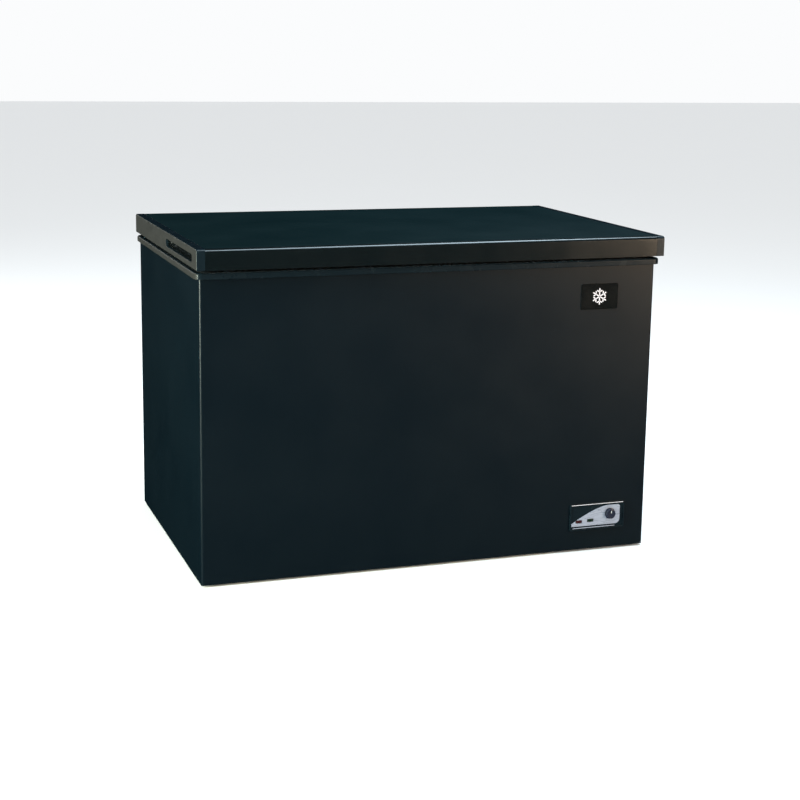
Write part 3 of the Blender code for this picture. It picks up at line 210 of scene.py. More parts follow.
def skinRings(bm, rings, closed=False, capStart=False, capEnd=False):
    loops = [[bm.verts.new(point) for point in ring] for ring in rings]
    pairs = list(zip(loops, loops[1:])) + ([(loops[-1], loops[0])] if closed else [])
    for near, far in pairs:
        for i in range(len(near)):
            j = (i + 1) % len(near)
            bm.faces.new((near[i], near[j], far[j], far[i]))
    if capStart:
        bm.faces.new(loops[0])
    if capEnd:
        bm.faces.new(loops[-1])
    return loops


leastRadius = 0.00002  # a turned profile that reaches its axis keeps a ring this small


def addLathe(bm, profile, centre, axis, steps=48, flutes=(0, 0.0, 0.0, 0.0), closed=False):
    # profile is (radius, height) from one end to the other
    # flutes are (count, depth, from height, to height) and scallop the rim
    turn = Vector(axis).to_track_quat("Z", "Y").to_matrix()
    count, depth, start, end = flutes
    rings = []
    for radius, height in profile:
        ring = []
        for i in range(steps):
            angle = 2 * math.pi * i / steps
            cut = depth * abs(math.sin(count * angle / 2)) if start <= height <= end else 0.0
            reach = max(radius - cut, leastRadius)
            spoke = Vector((reach * math.cos(angle), reach * math.sin(angle), height))
            ring.append(Vector(centre) + turn @ spoke)
        rings.append(ring)
    skinRings(bm, rings, closed=closed, capStart=not closed, capEnd=not closed)


def addTube(bm, points, radius, sides=10, closed=False):
    points = [Vector(point) for point in points]
    count = len(points)
    turns = [2 * math.pi * k / sides for k in range(sides)]
    rings, side = [], None
    for i, point in enumerate(points):
        before = points[i - 1] if i or closed else point
        after = points[(i + 1) % count] if i < count - 1 or closed else point
        along = (after - before).normalized()
        if side is None:
            side = along.orthogonal().normalized()
        side = (side - along * side.dot(along)).normalized()
        other = along.cross(side)
        rings.append([point + radius * (math.cos(turn) * side + math.sin(turn) * other) for turn in turns])
    skinRings(bm, rings, closed=closed, capStart=not closed, capEnd=not closed)


def addBlock(bm, low, high, edge=0.0, segments=2):
    low, high = Vector(low), Vector(high)
    block = bmesh.new()
    bmesh.ops.create_cube(block, size=1.0, matrix=Matrix.Translation((low + high) / 2)
                          @ Matrix.Diagonal((*(high - low), 1.0)))
    if edge:
        bmesh.ops.bevel(block, geom=block.edges[:], offset=edge, segments=segments, profile=0.5,
                        affect="EDGES")
    mesh = bpy.data.meshes.new("block")
    block.to_mesh(mesh)
    block.free()
    bm.from_mesh(mesh)
    bpy.data.meshes.remove(mesh)


def gridSheet(bm, path, levels, lift, skip=None):
    # path is in two axes, levels in the third; lift turns (pathPoint, level) into a place
    rows = [[bm.verts.new(lift(point, level)) for point in path] for level in levels]
    for j in range(len(levels) - 1):
        for i in range(len(path) - 1):
            if skip and skip(path[i], path[i + 1], levels[j], levels[j + 1]):
                continue
            bm.faces.new((rows[j][i], rows[j][i + 1], rows[j + 1][i + 1], rows[j + 1][i]))
    loose = [v for v in bm.verts if not v.link_faces]
    bmesh.ops.delete(bm, geom=loose, context="VERTS")


# finishes, one for each real material

metalShare = 0.45  # soft light leaves bare metal half diffuse, as oxide and plating do
# pre-coated steel sheet: smooth dark teal-black paint over steel, a faint orange peel and a soft satin gloss
preCoatedSteel = makeFinish("pre-coated black steel", {
    "tones": ("#040f16", "#06141b"), "roughness": (0.30, 0.35), "cloudMm": 180.0,
    "grainMm": 3.0, "reliefMm": 0.012,  # paint waves, real 1 to 3 mm
    "shader": {"IOR": 1.45, "Specular IOR Level": 0.35}})
# the lid's top sheet: the same paint, tinted a touch greener and made flatter, painted light standing in for
# how the lit top looks
lidTopLightTintedSteel = makeFinish("pre-coated black lid steel", {
    "tones": ("#03171a", "#051c1f"), "roughness": (0.36, 0.42), "cloudMm": 180.0,
    "grainMm": 3.0, "reliefMm": 0.012,
    "shader": {"IOR": 1.45, "Specular IOR Level": 0.2}})
# the same sheet roll-formed into the lid's rails: a little glossier where it is stretched
rolledSteel = makeFinish("roll-formed black steel", {
    "tones": ("#070e10", "#0b1214"), "roughness": (0.17, 0.23), "cloudMm": 90.0,
    "grainMm": 3.0, "reliefMm": 0.006,
    "shader": {"IOR": 1.5, "Specular IOR Level": 0.45, "Coat Weight": 0.25, "Coat Roughness": 0.16}})
# ABS, injection moulded in a fine spark-eroded mould: near black, soft sheen
mouldedAbs = makeFinish("moulded black ABS", {
    "tones": ("#1a2022", "#22282a"), "roughness": (0.40, 0.50), "cloudMm": 60.0,
    "grainMm": 1.2, "reliefMm": 0.02,  # real grain 0.3 mm, coarser here so that it shows
    "shader": {"IOR": 1.53, "Specular IOR Level": 0.4}})
# grained ABS of the lid's ends: matte grey leather-like grain that breaks up reflections; its grey is
# lighter than the smooth tops and fronts of the same parts, painted light for the side the lamp falls on
grainedAbsLitGrey = makeFinish("grained grey ABS", {
    "tones": ("#151614", "#20211e"), "roughness": (0.58, 0.70), "cloudMm": 25.0,
    "grainMm": 2.0, "reliefMm": 0.09,  # real grain 0.8 mm, coarser here so that it shows
    "shader": {"IOR": 1.53, "Specular IOR Level": 0.35}})
# smooth ABS on the ends' top and front: black with a cold gleam; its tone is darker than the grained sides,
# painted shade for faces turned from the side light, and the bezel uses it too
smoothDarkAbsAndShade = makeFinish("smooth black ABS", {
    "tones": ("#0c161b", "#101c22"), "roughness": (0.22, 0.30), "cloudMm": 60.0,
    "grainMm": 3.0, "reliefMm": 0.008, "shader": {"IOR": 1.53, "Specular IOR Level": 0.22}})
# polished ABS inside the finger recess: darker than the end's grey as painted shade in the recess, and
# shiny, so it holds one bright streak
polishedAbsAndRecessShade = makeFinish("polished black ABS", {
    "tones": ("#070a0b", "#0b0f10"), "roughness": (0.12, 0.18), "cloudMm": 50.0,
    "grainMm": 4.0, "reliefMm": 0.01, "shader": {"IOR": 1.53}})
# high-impact polystyrene, vacuum formed: warm white, low gloss, slightly uneven
formedPolystyrene = makeFinish("vacuum formed white HIPS", {
    "tones": ("#b2b5b4", "#bcbfbc"), "roughness": (0.34, 0.44), "cloudMm": 120.0,
    "grainMm": 6.0, "reliefMm": 0.02, "shader": {"IOR": 1.59}})
# white coated aluminium with a stucco emboss: bright, with small soft glints
stuccoAluminium = makeFinish("white stucco aluminium", {
    "tones": ("#afb4b6", "#b9bcbe"), "roughness": (0.28, 0.36), "cloudMm": 200.0, "pattern": "cells",
    "grainMm": 7.0, "reliefMm": 0.12, "shader": {"IOR": 1.5, "Coat Weight": 0.15, "Coat Roughness": 0.2}})
# hot-dip galvanised steel: grey metal with spangles
galvanisedSteel = makeFinish("galvanised steel", {
    "tones": ("#8f9496", "#aab0b2"), "roughness": (0.36, 0.52), "cloudMm": 14.0, "pattern": "cells",
    "grainMm": 9.0, "reliefMm": 0.02, "shader": {"Metallic": metalShare}})
# bright zinc plating on pressed brackets: slightly blue, fine pressing lines
zincPlate = makeFinish("zinc plated steel", {
    "tones": ("#a3a8ac", "#bcc1c4"), "roughness": (0.26, 0.38), "cloudMm": 9.0, "stretch": (1.0, 1.0, 0.25),
    "grainMm": 1.5, "reliefMm": 0.01, "shader": {"Metallic": metalShare}})
# spring wire: drawn and oiled, darker
springSteel = makeFinish("drawn spring steel", {
    "tones": ("#5d6164", "#777b7e"), "roughness": (0.25, 0.35), "cloudMm": 4.0,
    "grainMm": 1.0, "reliefMm": 0.01, "shader": {"Metallic": metalShare}})
# baked enamel on the compressor: black, semi-gloss with orange peel
bakedEnamel = makeFinish("baked black enamel", {
    "tones": ("#0b0c0d", "#121415"), "roughness": (0.24, 0.34), "cloudMm": 50.0,
    "grainMm": 3.0, "reliefMm": 0.05, "shader": {"IOR": 1.5}})
# drawn copper: reddish metal, brown where it has been handled
drawnCopper = makeFinish("drawn copper", {
    "tones": ("#8a4b30", "#c07850"), "roughness": (0.26, 0.45), "cloudMm": 25.0,
    "grainMm": 2.0, "reliefMm": 0.01, "shader": {"Metallic": metalShare}})
# rigid polyurethane foam: pale yellow, dull, small cells
rigidFoam = makeFinish("rigid polyurethane foam", {
    "tones": ("#c9b27a", "#dcc893"), "roughness": (0.90, 0.98), "cloudMm": 30.0, "pattern": "cells",
    "grainMm": 2.0, "reliefMm": 0.4, "shader": {"Specular IOR Level": 0.2}})
# magnetic PVC seal: dark grey, soft sheen along its folds
sealPvc = makeFinish("extruded PVC seal", {
    "tones": ("#26282a", "#303234"), "roughness": (0.48, 0.58), "cloudMm": 30.0, "stretch": (0.2, 0.2, 1.0),
    "grainMm": 1.5, "reliefMm": 0.02, "shader": {"IOR": 1.52, "Specular IOR Level": 0.35}})
# moulded rubber: black, dusty-matte
mouldedRubber = makeFinish("moulded rubber", {
    "tones": ("#151617", "#1e1f20"), "roughness": (0.70, 0.82), "cloudMm": 12.0,
    "grainMm": 1.0, "reliefMm": 0.04, "shader": {"Specular IOR Level": 0.3}})
# printed polycarbonate label: bluish silver ink under a clear sheet, brushed lengthwise
printedLabel = makeFinish("printed silver polycarbonate", {
    "tones": ("#8f97a8", "#b4bac8"), "roughness": (0.24, 0.36), "cloudMm": 3.0, "stretch": (0.08, 1.0, 1.0),
    "grainMm": 0.8, "reliefMm": 0.004,
    "shader": {"Metallic": 0.35, "Coat Weight": 0.5, "Coat Roughness": 0.12}})
# screen-printed ink for the marks round the dial: flat dark blue
printedInk = makeFinish("screen-printed dark ink", {
    "tones": ("#1b2238", "#232a42"), "roughness": (0.35, 0.45), "cloudMm": 5.0,
    "grainMm": 0.8, "reliefMm": 0.003, "shader": {}})
# polycarbonate lamp lenses: deep clear colours with a wet gloss
redLens = makeFinish("red polycarbonate lens", {
    "tones": ("#2c0a0d", "#381013"), "roughness": (0.08, 0.14), "cloudMm": 4.0,
    "grainMm": 1.5, "reliefMm": 0.004, "shader": {"IOR": 1.58, "Coat Weight": 0.6, "Coat Roughness": 0.05}})
greenLens = makeFinish("green polycarbonate lens", {
    "tones": ("#0b2019", "#102a20"), "roughness": (0.08, 0.14), "cloudMm": 4.0,
    "grainMm": 1.5, "reliefMm": 0.004, "shader": {"IOR": 1.58, "Coat Weight": 0.6, "Coat Roughness": 0.05}})
# dark blue ABS of the dial
dialAbs = makeFinish("moulded navy ABS", {
    "tones": ("#151a2a", "#1c2234"), "roughness": (0.26, 0.36), "cloudMm": 10.0,
    "grainMm": 0.8, "reliefMm": 0.01, "shader": {"IOR": 1.53}})
# polyethylene coat on steel wire: thick, white, glossy, slightly lumpy
coatedWire = makeFinish("polyethylene coated wire", {
    "tones": ("#bfc3c3", "#cccfce"), "roughness": (0.20, 0.28), "cloudMm": 30.0,
    "grainMm": 5.0, "reliefMm": 0.06, "shader": {"IOR": 1.5}})
# phenolic board behind the lamps
phenolicBoard = makeFinish("phenolic circuit board", {
    "tones": ("#7a5a2c", "#8a6836"), "roughness": (0.45, 0.55), "cloudMm": 6.0,
    "grainMm": 0.6, "reliefMm": 0.01, "shader": {}})
# hot-stamped pale foil of the emblem; the bezel's pale line uses it as a painted highlight: near white, a
# little sparkle
emblemFoilAndPaintedHighlight = makeFinish("hot-stamped pale foil", {
    "tones": ("#d6d4da", "#ebe8ee"), "roughness": (0.28, 0.36), "cloudMm": 6.0,
    "grainMm": 0.8, "reliefMm": 0.004,
    "shader": {"Metallic": 0.2, "Coat Weight": 0.4, "Coat Roughness": 0.15}})
print("finishes made")


# cabinet: wrap, collar, tank, grille, screws and feet

cabinetLook = {
    "sheet": 0.0008, "cornerRadius": 0.007, "cornerSteps": 10,
    "panelWindow": (0.136, 0.050),  # hole in the front behind the control panel
    "ventMargin": 0.012,            # the side hole is this much smaller than its grille
    "stepCover": 0.050, "tankCorner": 0.015,
    "drainRadius": 0.0103, "drillStart": 0.010, "drillLength": 0.030,  # the drill starts inside the tank
}


def buildWrap():
    low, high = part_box("outer_wrap")
    look = cabinetLook
    r = look["cornerRadius"]
    middle, (wide, tall), margin = middleOf("control_bezel"), look["panelWindow"], look["ventMargin"]
    wx0, wx1, wz0, wz1 = (middle[0] - wide / 2, middle[0] + wide / 2,
                          middle[2] - tall / 2, middle[2] + tall / 2)
    grilleLow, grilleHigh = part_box("side_vent_grille")
    gy0, gy1 = grilleLow.y + margin, grilleHigh.y - margin
    gz0, gz1 = grilleLow.z + margin, grilleHigh.z - margin
    path = ([(low.x, high.y), (low.x, (low.y + high.y) / 2)]
            + arcPoints((low.x + r, low.y + r), r, 180, 270, look["cornerSteps"])
            + [(0.0, low.y), (wx0, low.y), (wx1, low.y)]
            + arcPoints((high.x - r, low.y + r), r, 270, 360, look["cornerSteps"])
            + [(high.x, gy0), (high.x, gy1), (high.x, high.y)])
    levels = sorted([low.z, wz0, wz1, gz0, gz1, (low.z + high.z) / 2, high.z])

    def inHole(a, b, z0, z1):
        front = a[1] == low.y and b[1] == low.y and a[0] >= wx0 and b[0] <= wx1 and z0 >= wz0 and z1 <= wz1
        side = a[0] == high.x and b[0] == high.x and a[1] >= gy0 and b[1] <= gy1 and z0 >= gz0 and z1 <= gz1
        return front or side
    bm = bmesh.new()
    gridSheet(bm, path, levels, lambda p, z: (p[0], p[1], z), inHole)
    piece = addPiece("cabinetWrap", bm, preCoatedSteel, "cabinet", ["outer_wrap"],
                     recalc=False)
    thicken(piece, look["sheet"], -1.0)


collarLook = {
    "outerRadius": 0.018, "rounding": 0.005, "ledgeWidth": 0.010, "ledgeDepth": 0.008, "lip": 0.0012,
    "hem": ((0.0012, 0.0), (0.0003, 0.0004), (0.0, 0.0014)),  # inset and height of the lower edge
}


def buildCollar():
    look, skin, corner = collarLook, cabinetLook["sheet"], cabinetLook["tankCorner"]
    low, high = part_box("top_collar")
    tankLow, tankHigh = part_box("tank_liner")
    mouthLow = (tankLow.x + skin, tankLow.y + skin)
    mouthHigh = (tankHigh.x - skin, tankHigh.y - skin)
    r, lip, wide = look["rounding"], look["lip"], look["ledgeWidth"]
    soft = 0.3 * lip
    shelf = high.z - look["ledgeDepth"]
    outside = [(inset, low.z + height) for inset, height in look["hem"]] + [(0.0, high.z - r)]
    for i in range(1, 7):
        angle = math.radians(15 * i)
        outside.append((r * (1 - math.cos(angle)), high.z - r + r * math.sin(angle)))
    mouth = [(wide + lip, high.z), (wide + soft, high.z - soft), (wide, high.z - lip), (wide, shelf + lip),
             (wide - soft, shelf + soft), (wide - lip, shelf), (lip, shelf), (soft, shelf - soft),
             (0.0, shelf - lip), (0.0, low.z)]
    rings = [outlineRing(low, high, 2, inset, z, look["outerRadius"] - inset) for inset, z in outside]
    rings += [outlineRing(mouthLow, mouthHigh, 2, -grow, z, corner + grow) for grow, z in mouth]
    bm = bmesh.new()
    skinRings(bm, rings, closed=True)
    bm.normal_update()
    for face in bm.faces:  # the sides are grained and painted lighter grey like the lid's ends, as if lit; the front stays smooth and darker, as painted shade
        if abs(face.normal.x) > 0.7 and abs(face.calc_center_median().x) > high.x - r:
            face.material_index = 1
    addPiece("topCollar", bm, [smoothDarkAbsAndShade, grainedAbsLitGrey], "cabinet", ["top_collar"])


def buildTank():
    low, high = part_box("tank_liner")
    wallLow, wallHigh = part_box("compartment_wall")
    look = cabinetLook
    skin = look["sheet"]
    x0, x1, y0, y1 = low.x + skin, high.x - skin, low.y + skin, high.y - skin
    floor, top = low.z + skin, high.z
    stepX, stepZ = wallLow.x - look["stepCover"], wallHigh.z + look["stepCover"]
    outline = [(x0, floor), (stepX, floor), (stepX, stepZ), (x1, stepZ), (x1, top), (x0, top)]
    bm = bmesh.new()

    def mouthFaces():
        return [f for f in bm.faces if all(v.co.z > top - 0.001 for v in f.verts)]
    face = bm.faces.new([bm.verts.new((x, y0, z)) for x, z in outline])
    walls = bmesh.ops.extrude_face_region(bm, geom=[face])
    moved = [item for item in walls["geom"] if isinstance(item, bmesh.types.BMVert)]
    bmesh.ops.translate(bm, verts=moved, vec=(0, y1 - y0, 0))
    bmesh.ops.recalc_face_normals(bm, faces=bm.faces)
    mouth = mouthFaces()
    edges = [e for e in bm.edges if not any(f in mouth for f in e.link_faces)]
    bmesh.ops.bevel(bm, geom=edges, offset=look["tankCorner"], segments=7, profile=0.5, affect="EDGES")
    bmesh.ops.delete(bm, geom=mouthFaces(), context="FACES_ONLY")
    piece = addPiece("tankLiner", bm, stuccoAluminium, "cabinet", ["tank_liner"], recalc=False)
    thicken(piece, skin, 1.0)
    drain, r = middleOf("drain_tube"), look["drainRadius"]
    start = (drain[0], y1 - look["drillStart"], drain[2])
    bm = bmesh.new()
    addLathe(bm, [(r, 0.0), (r, look["drillLength"])], start, (0, 1, 0), 32)
    bmesh.ops.recalc_face_normals(bm, faces=bm.faces)
    drill = meshObject("drill", bm)
    piece.modifiers.clear()
    cut = piece.modifiers.new("drain hole", "BOOLEAN")
    cut.object, cut.solver = drill, "EXACT"
    settle(piece)
    bpy.data.objects.remove(drill, do_unlink=True)


def buildVentGrille():
    look = {"rim": 0.012, "corner": 0.006, "leastCorner": 0.002, "slats": 9, "slatHeight": 0.0065,
            "rimOverlap": 0.001, "setBack": 0.0002}
    low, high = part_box("side_vent_grille")
    rim, corner, back = look["rim"], look["corner"], look["setBack"]
    section = [(0.0, low.x), (0.0, high.x - 0.0012), (0.0004, high.x - 0.0003), (0.0014, high.x),
               (rim - 0.0008, high.x), (rim, high.x - 0.0006), (rim, low.x)]
    bm = bmesh.new()
    skinRings(bm, [outlineRing(low, high, 0, inset, x, max(corner - inset, look["leastCorner"]), 6)
                   for inset, x in section], closed=True)
    pitch = (high.z - low.z - 2 * rim) / look["slats"]
    half = look["slatHeight"] / 2
    for i in range(look["slats"]):
        z = low.z + rim + pitch * (i + 0.5)
        # a slat is a thin wedge that leans outwards at its foot
        section = [(low.x + back, z + half), (low.x + 0.0010, z + half), (high.x - back, z - 0.6 * half),
                   (high.x - back, z - half), (high.x - 0.0009, z - half)]
        ends = (low.y + rim - look["rimOverlap"], high.y - rim + look["rimOverlap"])
        skinRings(bm, [[(x, y, height) for x, height in section] for y in ends], capStart=True, capEnd=True)
    addPiece("sideVentGrille", bm, mouldedAbs, "cabinet", ["side_vent_grille"], 30)


def addHexScrew(bm, centre, axis, size):
    addLathe(bm, [(1.5 * size, 0.0), (1.5 * size, 0.25 * size), (1.1 * size, 0.35 * size)], centre, axis, 24)
    addLathe(bm, [(size, 0.3 * size), (size, 0.95 * size), (0.85 * size, 1.1 * size)], centre, axis, 6)


screwLook = {
    "cover": 0.0024, "coverInset": 0.006,
    "base": 0.0028, "baseSpread": 0.015, "baseHeights": (0.014, 0.048), "baseSheet": 0.002,
    "leaf": 0.0026, "leafSpread": 0.013, "leafDrop": 0.012, "leafSheet": 0.0025,
}


def buildScrews():
    look = screwLook
    inset = look["coverInset"]
    low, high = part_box("rear_access_cover")
    bm = bmesh.new()
    for x in (low.x + inset, middleOf("rear_access_cover")[0], high.x - inset):
        for z in (low.z + inset, high.z - inset):
            addHexScrew(bm, (x, high.y, z), (0, 1, 0), look["cover"])
    addPiece("coverScrews", bm, zincPlate, "cabinet")
    for side in ("left", "right"):
        low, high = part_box(f"hinge_base_{side}")
        middle = middleOf(f"hinge_base_{side}")[0]
        bm = bmesh.new()
        for x in (middle - look["baseSpread"], middle + look["baseSpread"]):
            for height in look["baseHeights"]:
                addHexScrew(bm, (x, low.y + look["baseSheet"], low.z + height), (0, 1, 0), look["base"])
        addPiece(f"hingeBaseScrews_{side}", bm, zincPlate, "cabinet")
        low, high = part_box(f"hinge_leaf_{side}")
        bm = bmesh.new()
        for x in (middle - look["leafSpread"], middle + look["leafSpread"]):
            place = (x, low.y + look["leafSheet"], high.z - look["leafDrop"])
            addHexScrew(bm, place, (0, 1, 0), look["leaf"])
        addPiece(f"hingeLeafScrews_{side}", bm, zincPlate, "lid")


def buildFeet():
    shares = [(0.0, 1.0), (0.78, 1.0), (0.86, 0.82), (0.97, 0.45), (1.0, 0.3), (1.0, 0.1), (0.97, 0.0),
              (0.6, 0.0), (0.58, 0.12), (0.0, 0.12)]
    for name in ("front_left", "front_right", "rear_left", "rear_right"):
        low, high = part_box(f"foot_{name}")
        x, y = middleOf(f"foot_{name}")[:2]
        bm = bmesh.new()
        addLathe(bm, scaled(shares, (high.x - low.x) / 2, high.z), (x, y, 0.0), (0, 0, 1), 48)
        addPiece(f"foot_{name}_moulded", bm, mouldedAbs, "cabinet", [f"foot_{name}"])


buildWrap()
buildCollar()
buildTank()
buildVentGrille()
buildScrews()
buildFeet()
print("cabinet built")


# machine compartment and drain

def buildCompressor():
    look = {"weldLip": 0.004, "stubPlace": 0.62, "stubOut": 0.012, "stubUp": 0.035, "stubBend": 0.006,
            "stubRadius": 0.003}
    low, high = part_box("compressor")
    lip = look["weldLip"]
    r, h = (high.x - low.x) / 2 - lip, high.z - low.z
    x, y = middleOf("compressor")[:2]
    bowl = [(0.0, 0.0), (0.70, 0.0), (0.80, 0.02), (0.90, 0.06), (0.96, 0.13), (1.0, 0.24), (1.0, 0.505)]
    weld = [(r + 0.0015, 0.515 * h), (r + lip, 0.52 * h), (r + lip, 0.55 * h), (r + 0.001, 0.556 * h)]
    dome = [(0.995, 0.60), (0.975, 0.68), (0.93, 0.76), (0.86, 0.83), (0.76, 0.89), (0.62, 0.94),
            (0.46, 0.972), (0.28, 0.992), (0.0, 1.0)]
    bm = bmesh.new()
    addLathe(bm, scaled(bowl, r, h) + weld + scaled(dome, r, h), (x, y, low.z), (0, 0, 1), 72)
    addPiece("compressorShell", bm, bakedEnamel, "cabinet", ["compressor"])
    bm = bmesh.new()  # process stub, pinched shut
    share, out = look["stubPlace"], look["stubOut"]
    stub = Vector((x - share * r, y - share * r, low.z + share * h))
    route = [stub, stub + Vector((-out, -out, 0.0)), stub + Vector((-out, -out, look["stubUp"]))]
    addTube(bm, bentPath(route, look["stubBend"]), look["stubRadius"], 12)
    addPiece("processStub", bm, drawnCopper, "cabinet")


def buildRubberMounts():
    shares = [(0.0, 0.0), (0.92, 0.0), (1.0, 0.06), (1.0, 0.40), (0.92, 0.46), (0.5, 0.47), (0.5, 0.72),
              (0.80, 0.74), (0.85, 0.80), (0.72, 0.97), (0.66, 1.0), (0.3, 1.0), (0.26, 0.9), (0.0, 0.9)]
    for i in range(1, 5):
        low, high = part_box(f"compressor_grommet_{i}")
        x, y = middleOf(f"compressor_grommet_{i}")[:2]
        profile = scaled(shares, (high.x - low.x) / 2, high.z - low.z)
        bm = bmesh.new()
        addLathe(bm, profile, (x, y, low.z), (0, 0, 1), 40)
        addPiece(f"rubberMount_{i}", bm, mouldedRubber, "cabinet", [f"compressor_grommet_{i}"])


def buildDrain():
    look = {"bore": 0.0078, "sleeve": 0.010, "capBore": 0.0102, "capDepth": 0.0028,
            "capFlutes": 24, "fluteDepth": 0.0006}
    low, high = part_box("drain_tube")
    x, z = middleOf("drain_tube")[::2]
    bore, sleeve, flange, length = look["bore"], look["sleeve"], (high.x - low.x) / 2, high.y - low.y
    section = [(bore, length), (sleeve - 0.0004, length), (sleeve, length - 0.0006), (sleeve, 0.002),
               (flange - 0.0005, 0.002), (flange, 0.0015), (flange, 0.0006), (flange - 0.0006, 0.0),
               (bore + 0.0006, 0.0), (bore, 0.0006)]
    bm = bmesh.new()
    addLathe(bm, section, (x, low.y, z), (0, 1, 0), 48, closed=True)
    addPiece("drainSleeve", bm, formedPolystyrene, "cabinet", ["drain_tube"])

    low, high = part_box("drain_plug")
    head = (high.x - low.x) / 2
    profile = [(0.0, 0.0), (0.0034, 0.0), (0.004, 0.0006), (0.004, 0.0055), (0.0046, 0.006),
               (head - 0.0006, 0.006), (head, 0.0066), (head, 0.0094), (head - 0.0006, 0.010),
               (0.0076, 0.010), (0.0076, 0.0196), (0.0061, 0.022), (0.0, 0.022)]
    bm = bmesh.new()
    addLathe(bm, profile, (x, low.y, z), (0, 1, 0), 48)
    addPiece("drainPlug", bm, mouldedRubber, "inner_plug", ["drain_plug"])

    low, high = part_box("drain_cap")
    r, h = (high.x - low.x) / 2, high.y - low.y
    bore, floor = look["capBore"], h - look["capDepth"]
    profile = [(0.0, floor), (bore, floor), (bore, 0.0), (r - 0.0005, 0.0), (r, 0.0006), (r, h - 0.001),
               (r - 0.001, h), (0.0, h)]
    bm = bmesh.new()
    addLathe(bm, profile, (x, low.y, z), (0, 1, 0), 72,
             (look["capFlutes"], look["fluteDepth"], 0.0005, h - 0.0009))
    addPiece("drainCap", bm, mouldedAbs, "outer_cap", ["drain_cap"])


buildCompressor()
buildRubberMounts()
buildDrain()
print("machine compartment and drain built")


# lid: top, rails, ends, inner panel and seal

lidLook = {"railRadius": 0.008, "railSheet": 0.0012, "railReturn": 0.014, "arcSteps": 10}


def buildLidTop():
    low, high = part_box("lid_top_panel")
    bm = bmesh.new()
    addBlock(bm, low, high, 0.00035, 3)
    # the top panel takes the tinted copy of the paint: painted light on the top
    addPiece("lidTopPanel", bm, lidTopLightTintedSteel, "lid", ["lid_top_panel"])
    r, back = lidLook["railRadius"], lidLook["railReturn"]
    for node, name, sign in (("lid_front_rail", "lidFrontRail", -1), ("lid_rear_rail", "lidRearRail", 1)):
        low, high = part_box(node)
        outer = low.y if sign < 0 else high.y
        inward = -sign
        curve = arcPoints((0.0, high.z - r), r, 180, 90, lidLook["arcSteps"])
        path = [(outer + inward * back, low.z), (outer, low.z)]
        path += [(outer + inward * (r + y), z) for y, z in curve]
        path.append((outer + inward * 2 * back, high.z))
        levels = [low.x, 0.0, high.x]
        bm = bmesh.new()
        gridSheet(bm, path, levels, lambda p, x: (x, p[0], p[1]))
        if sign < 0:
            bmesh.ops.reverse_faces(bm, faces=bm.faces[:])
        piece = addPiece(name, bm, rolledSteel, "lid", [node], recalc=False)
        thicken(piece, lidLook["railSheet"], -1.0)


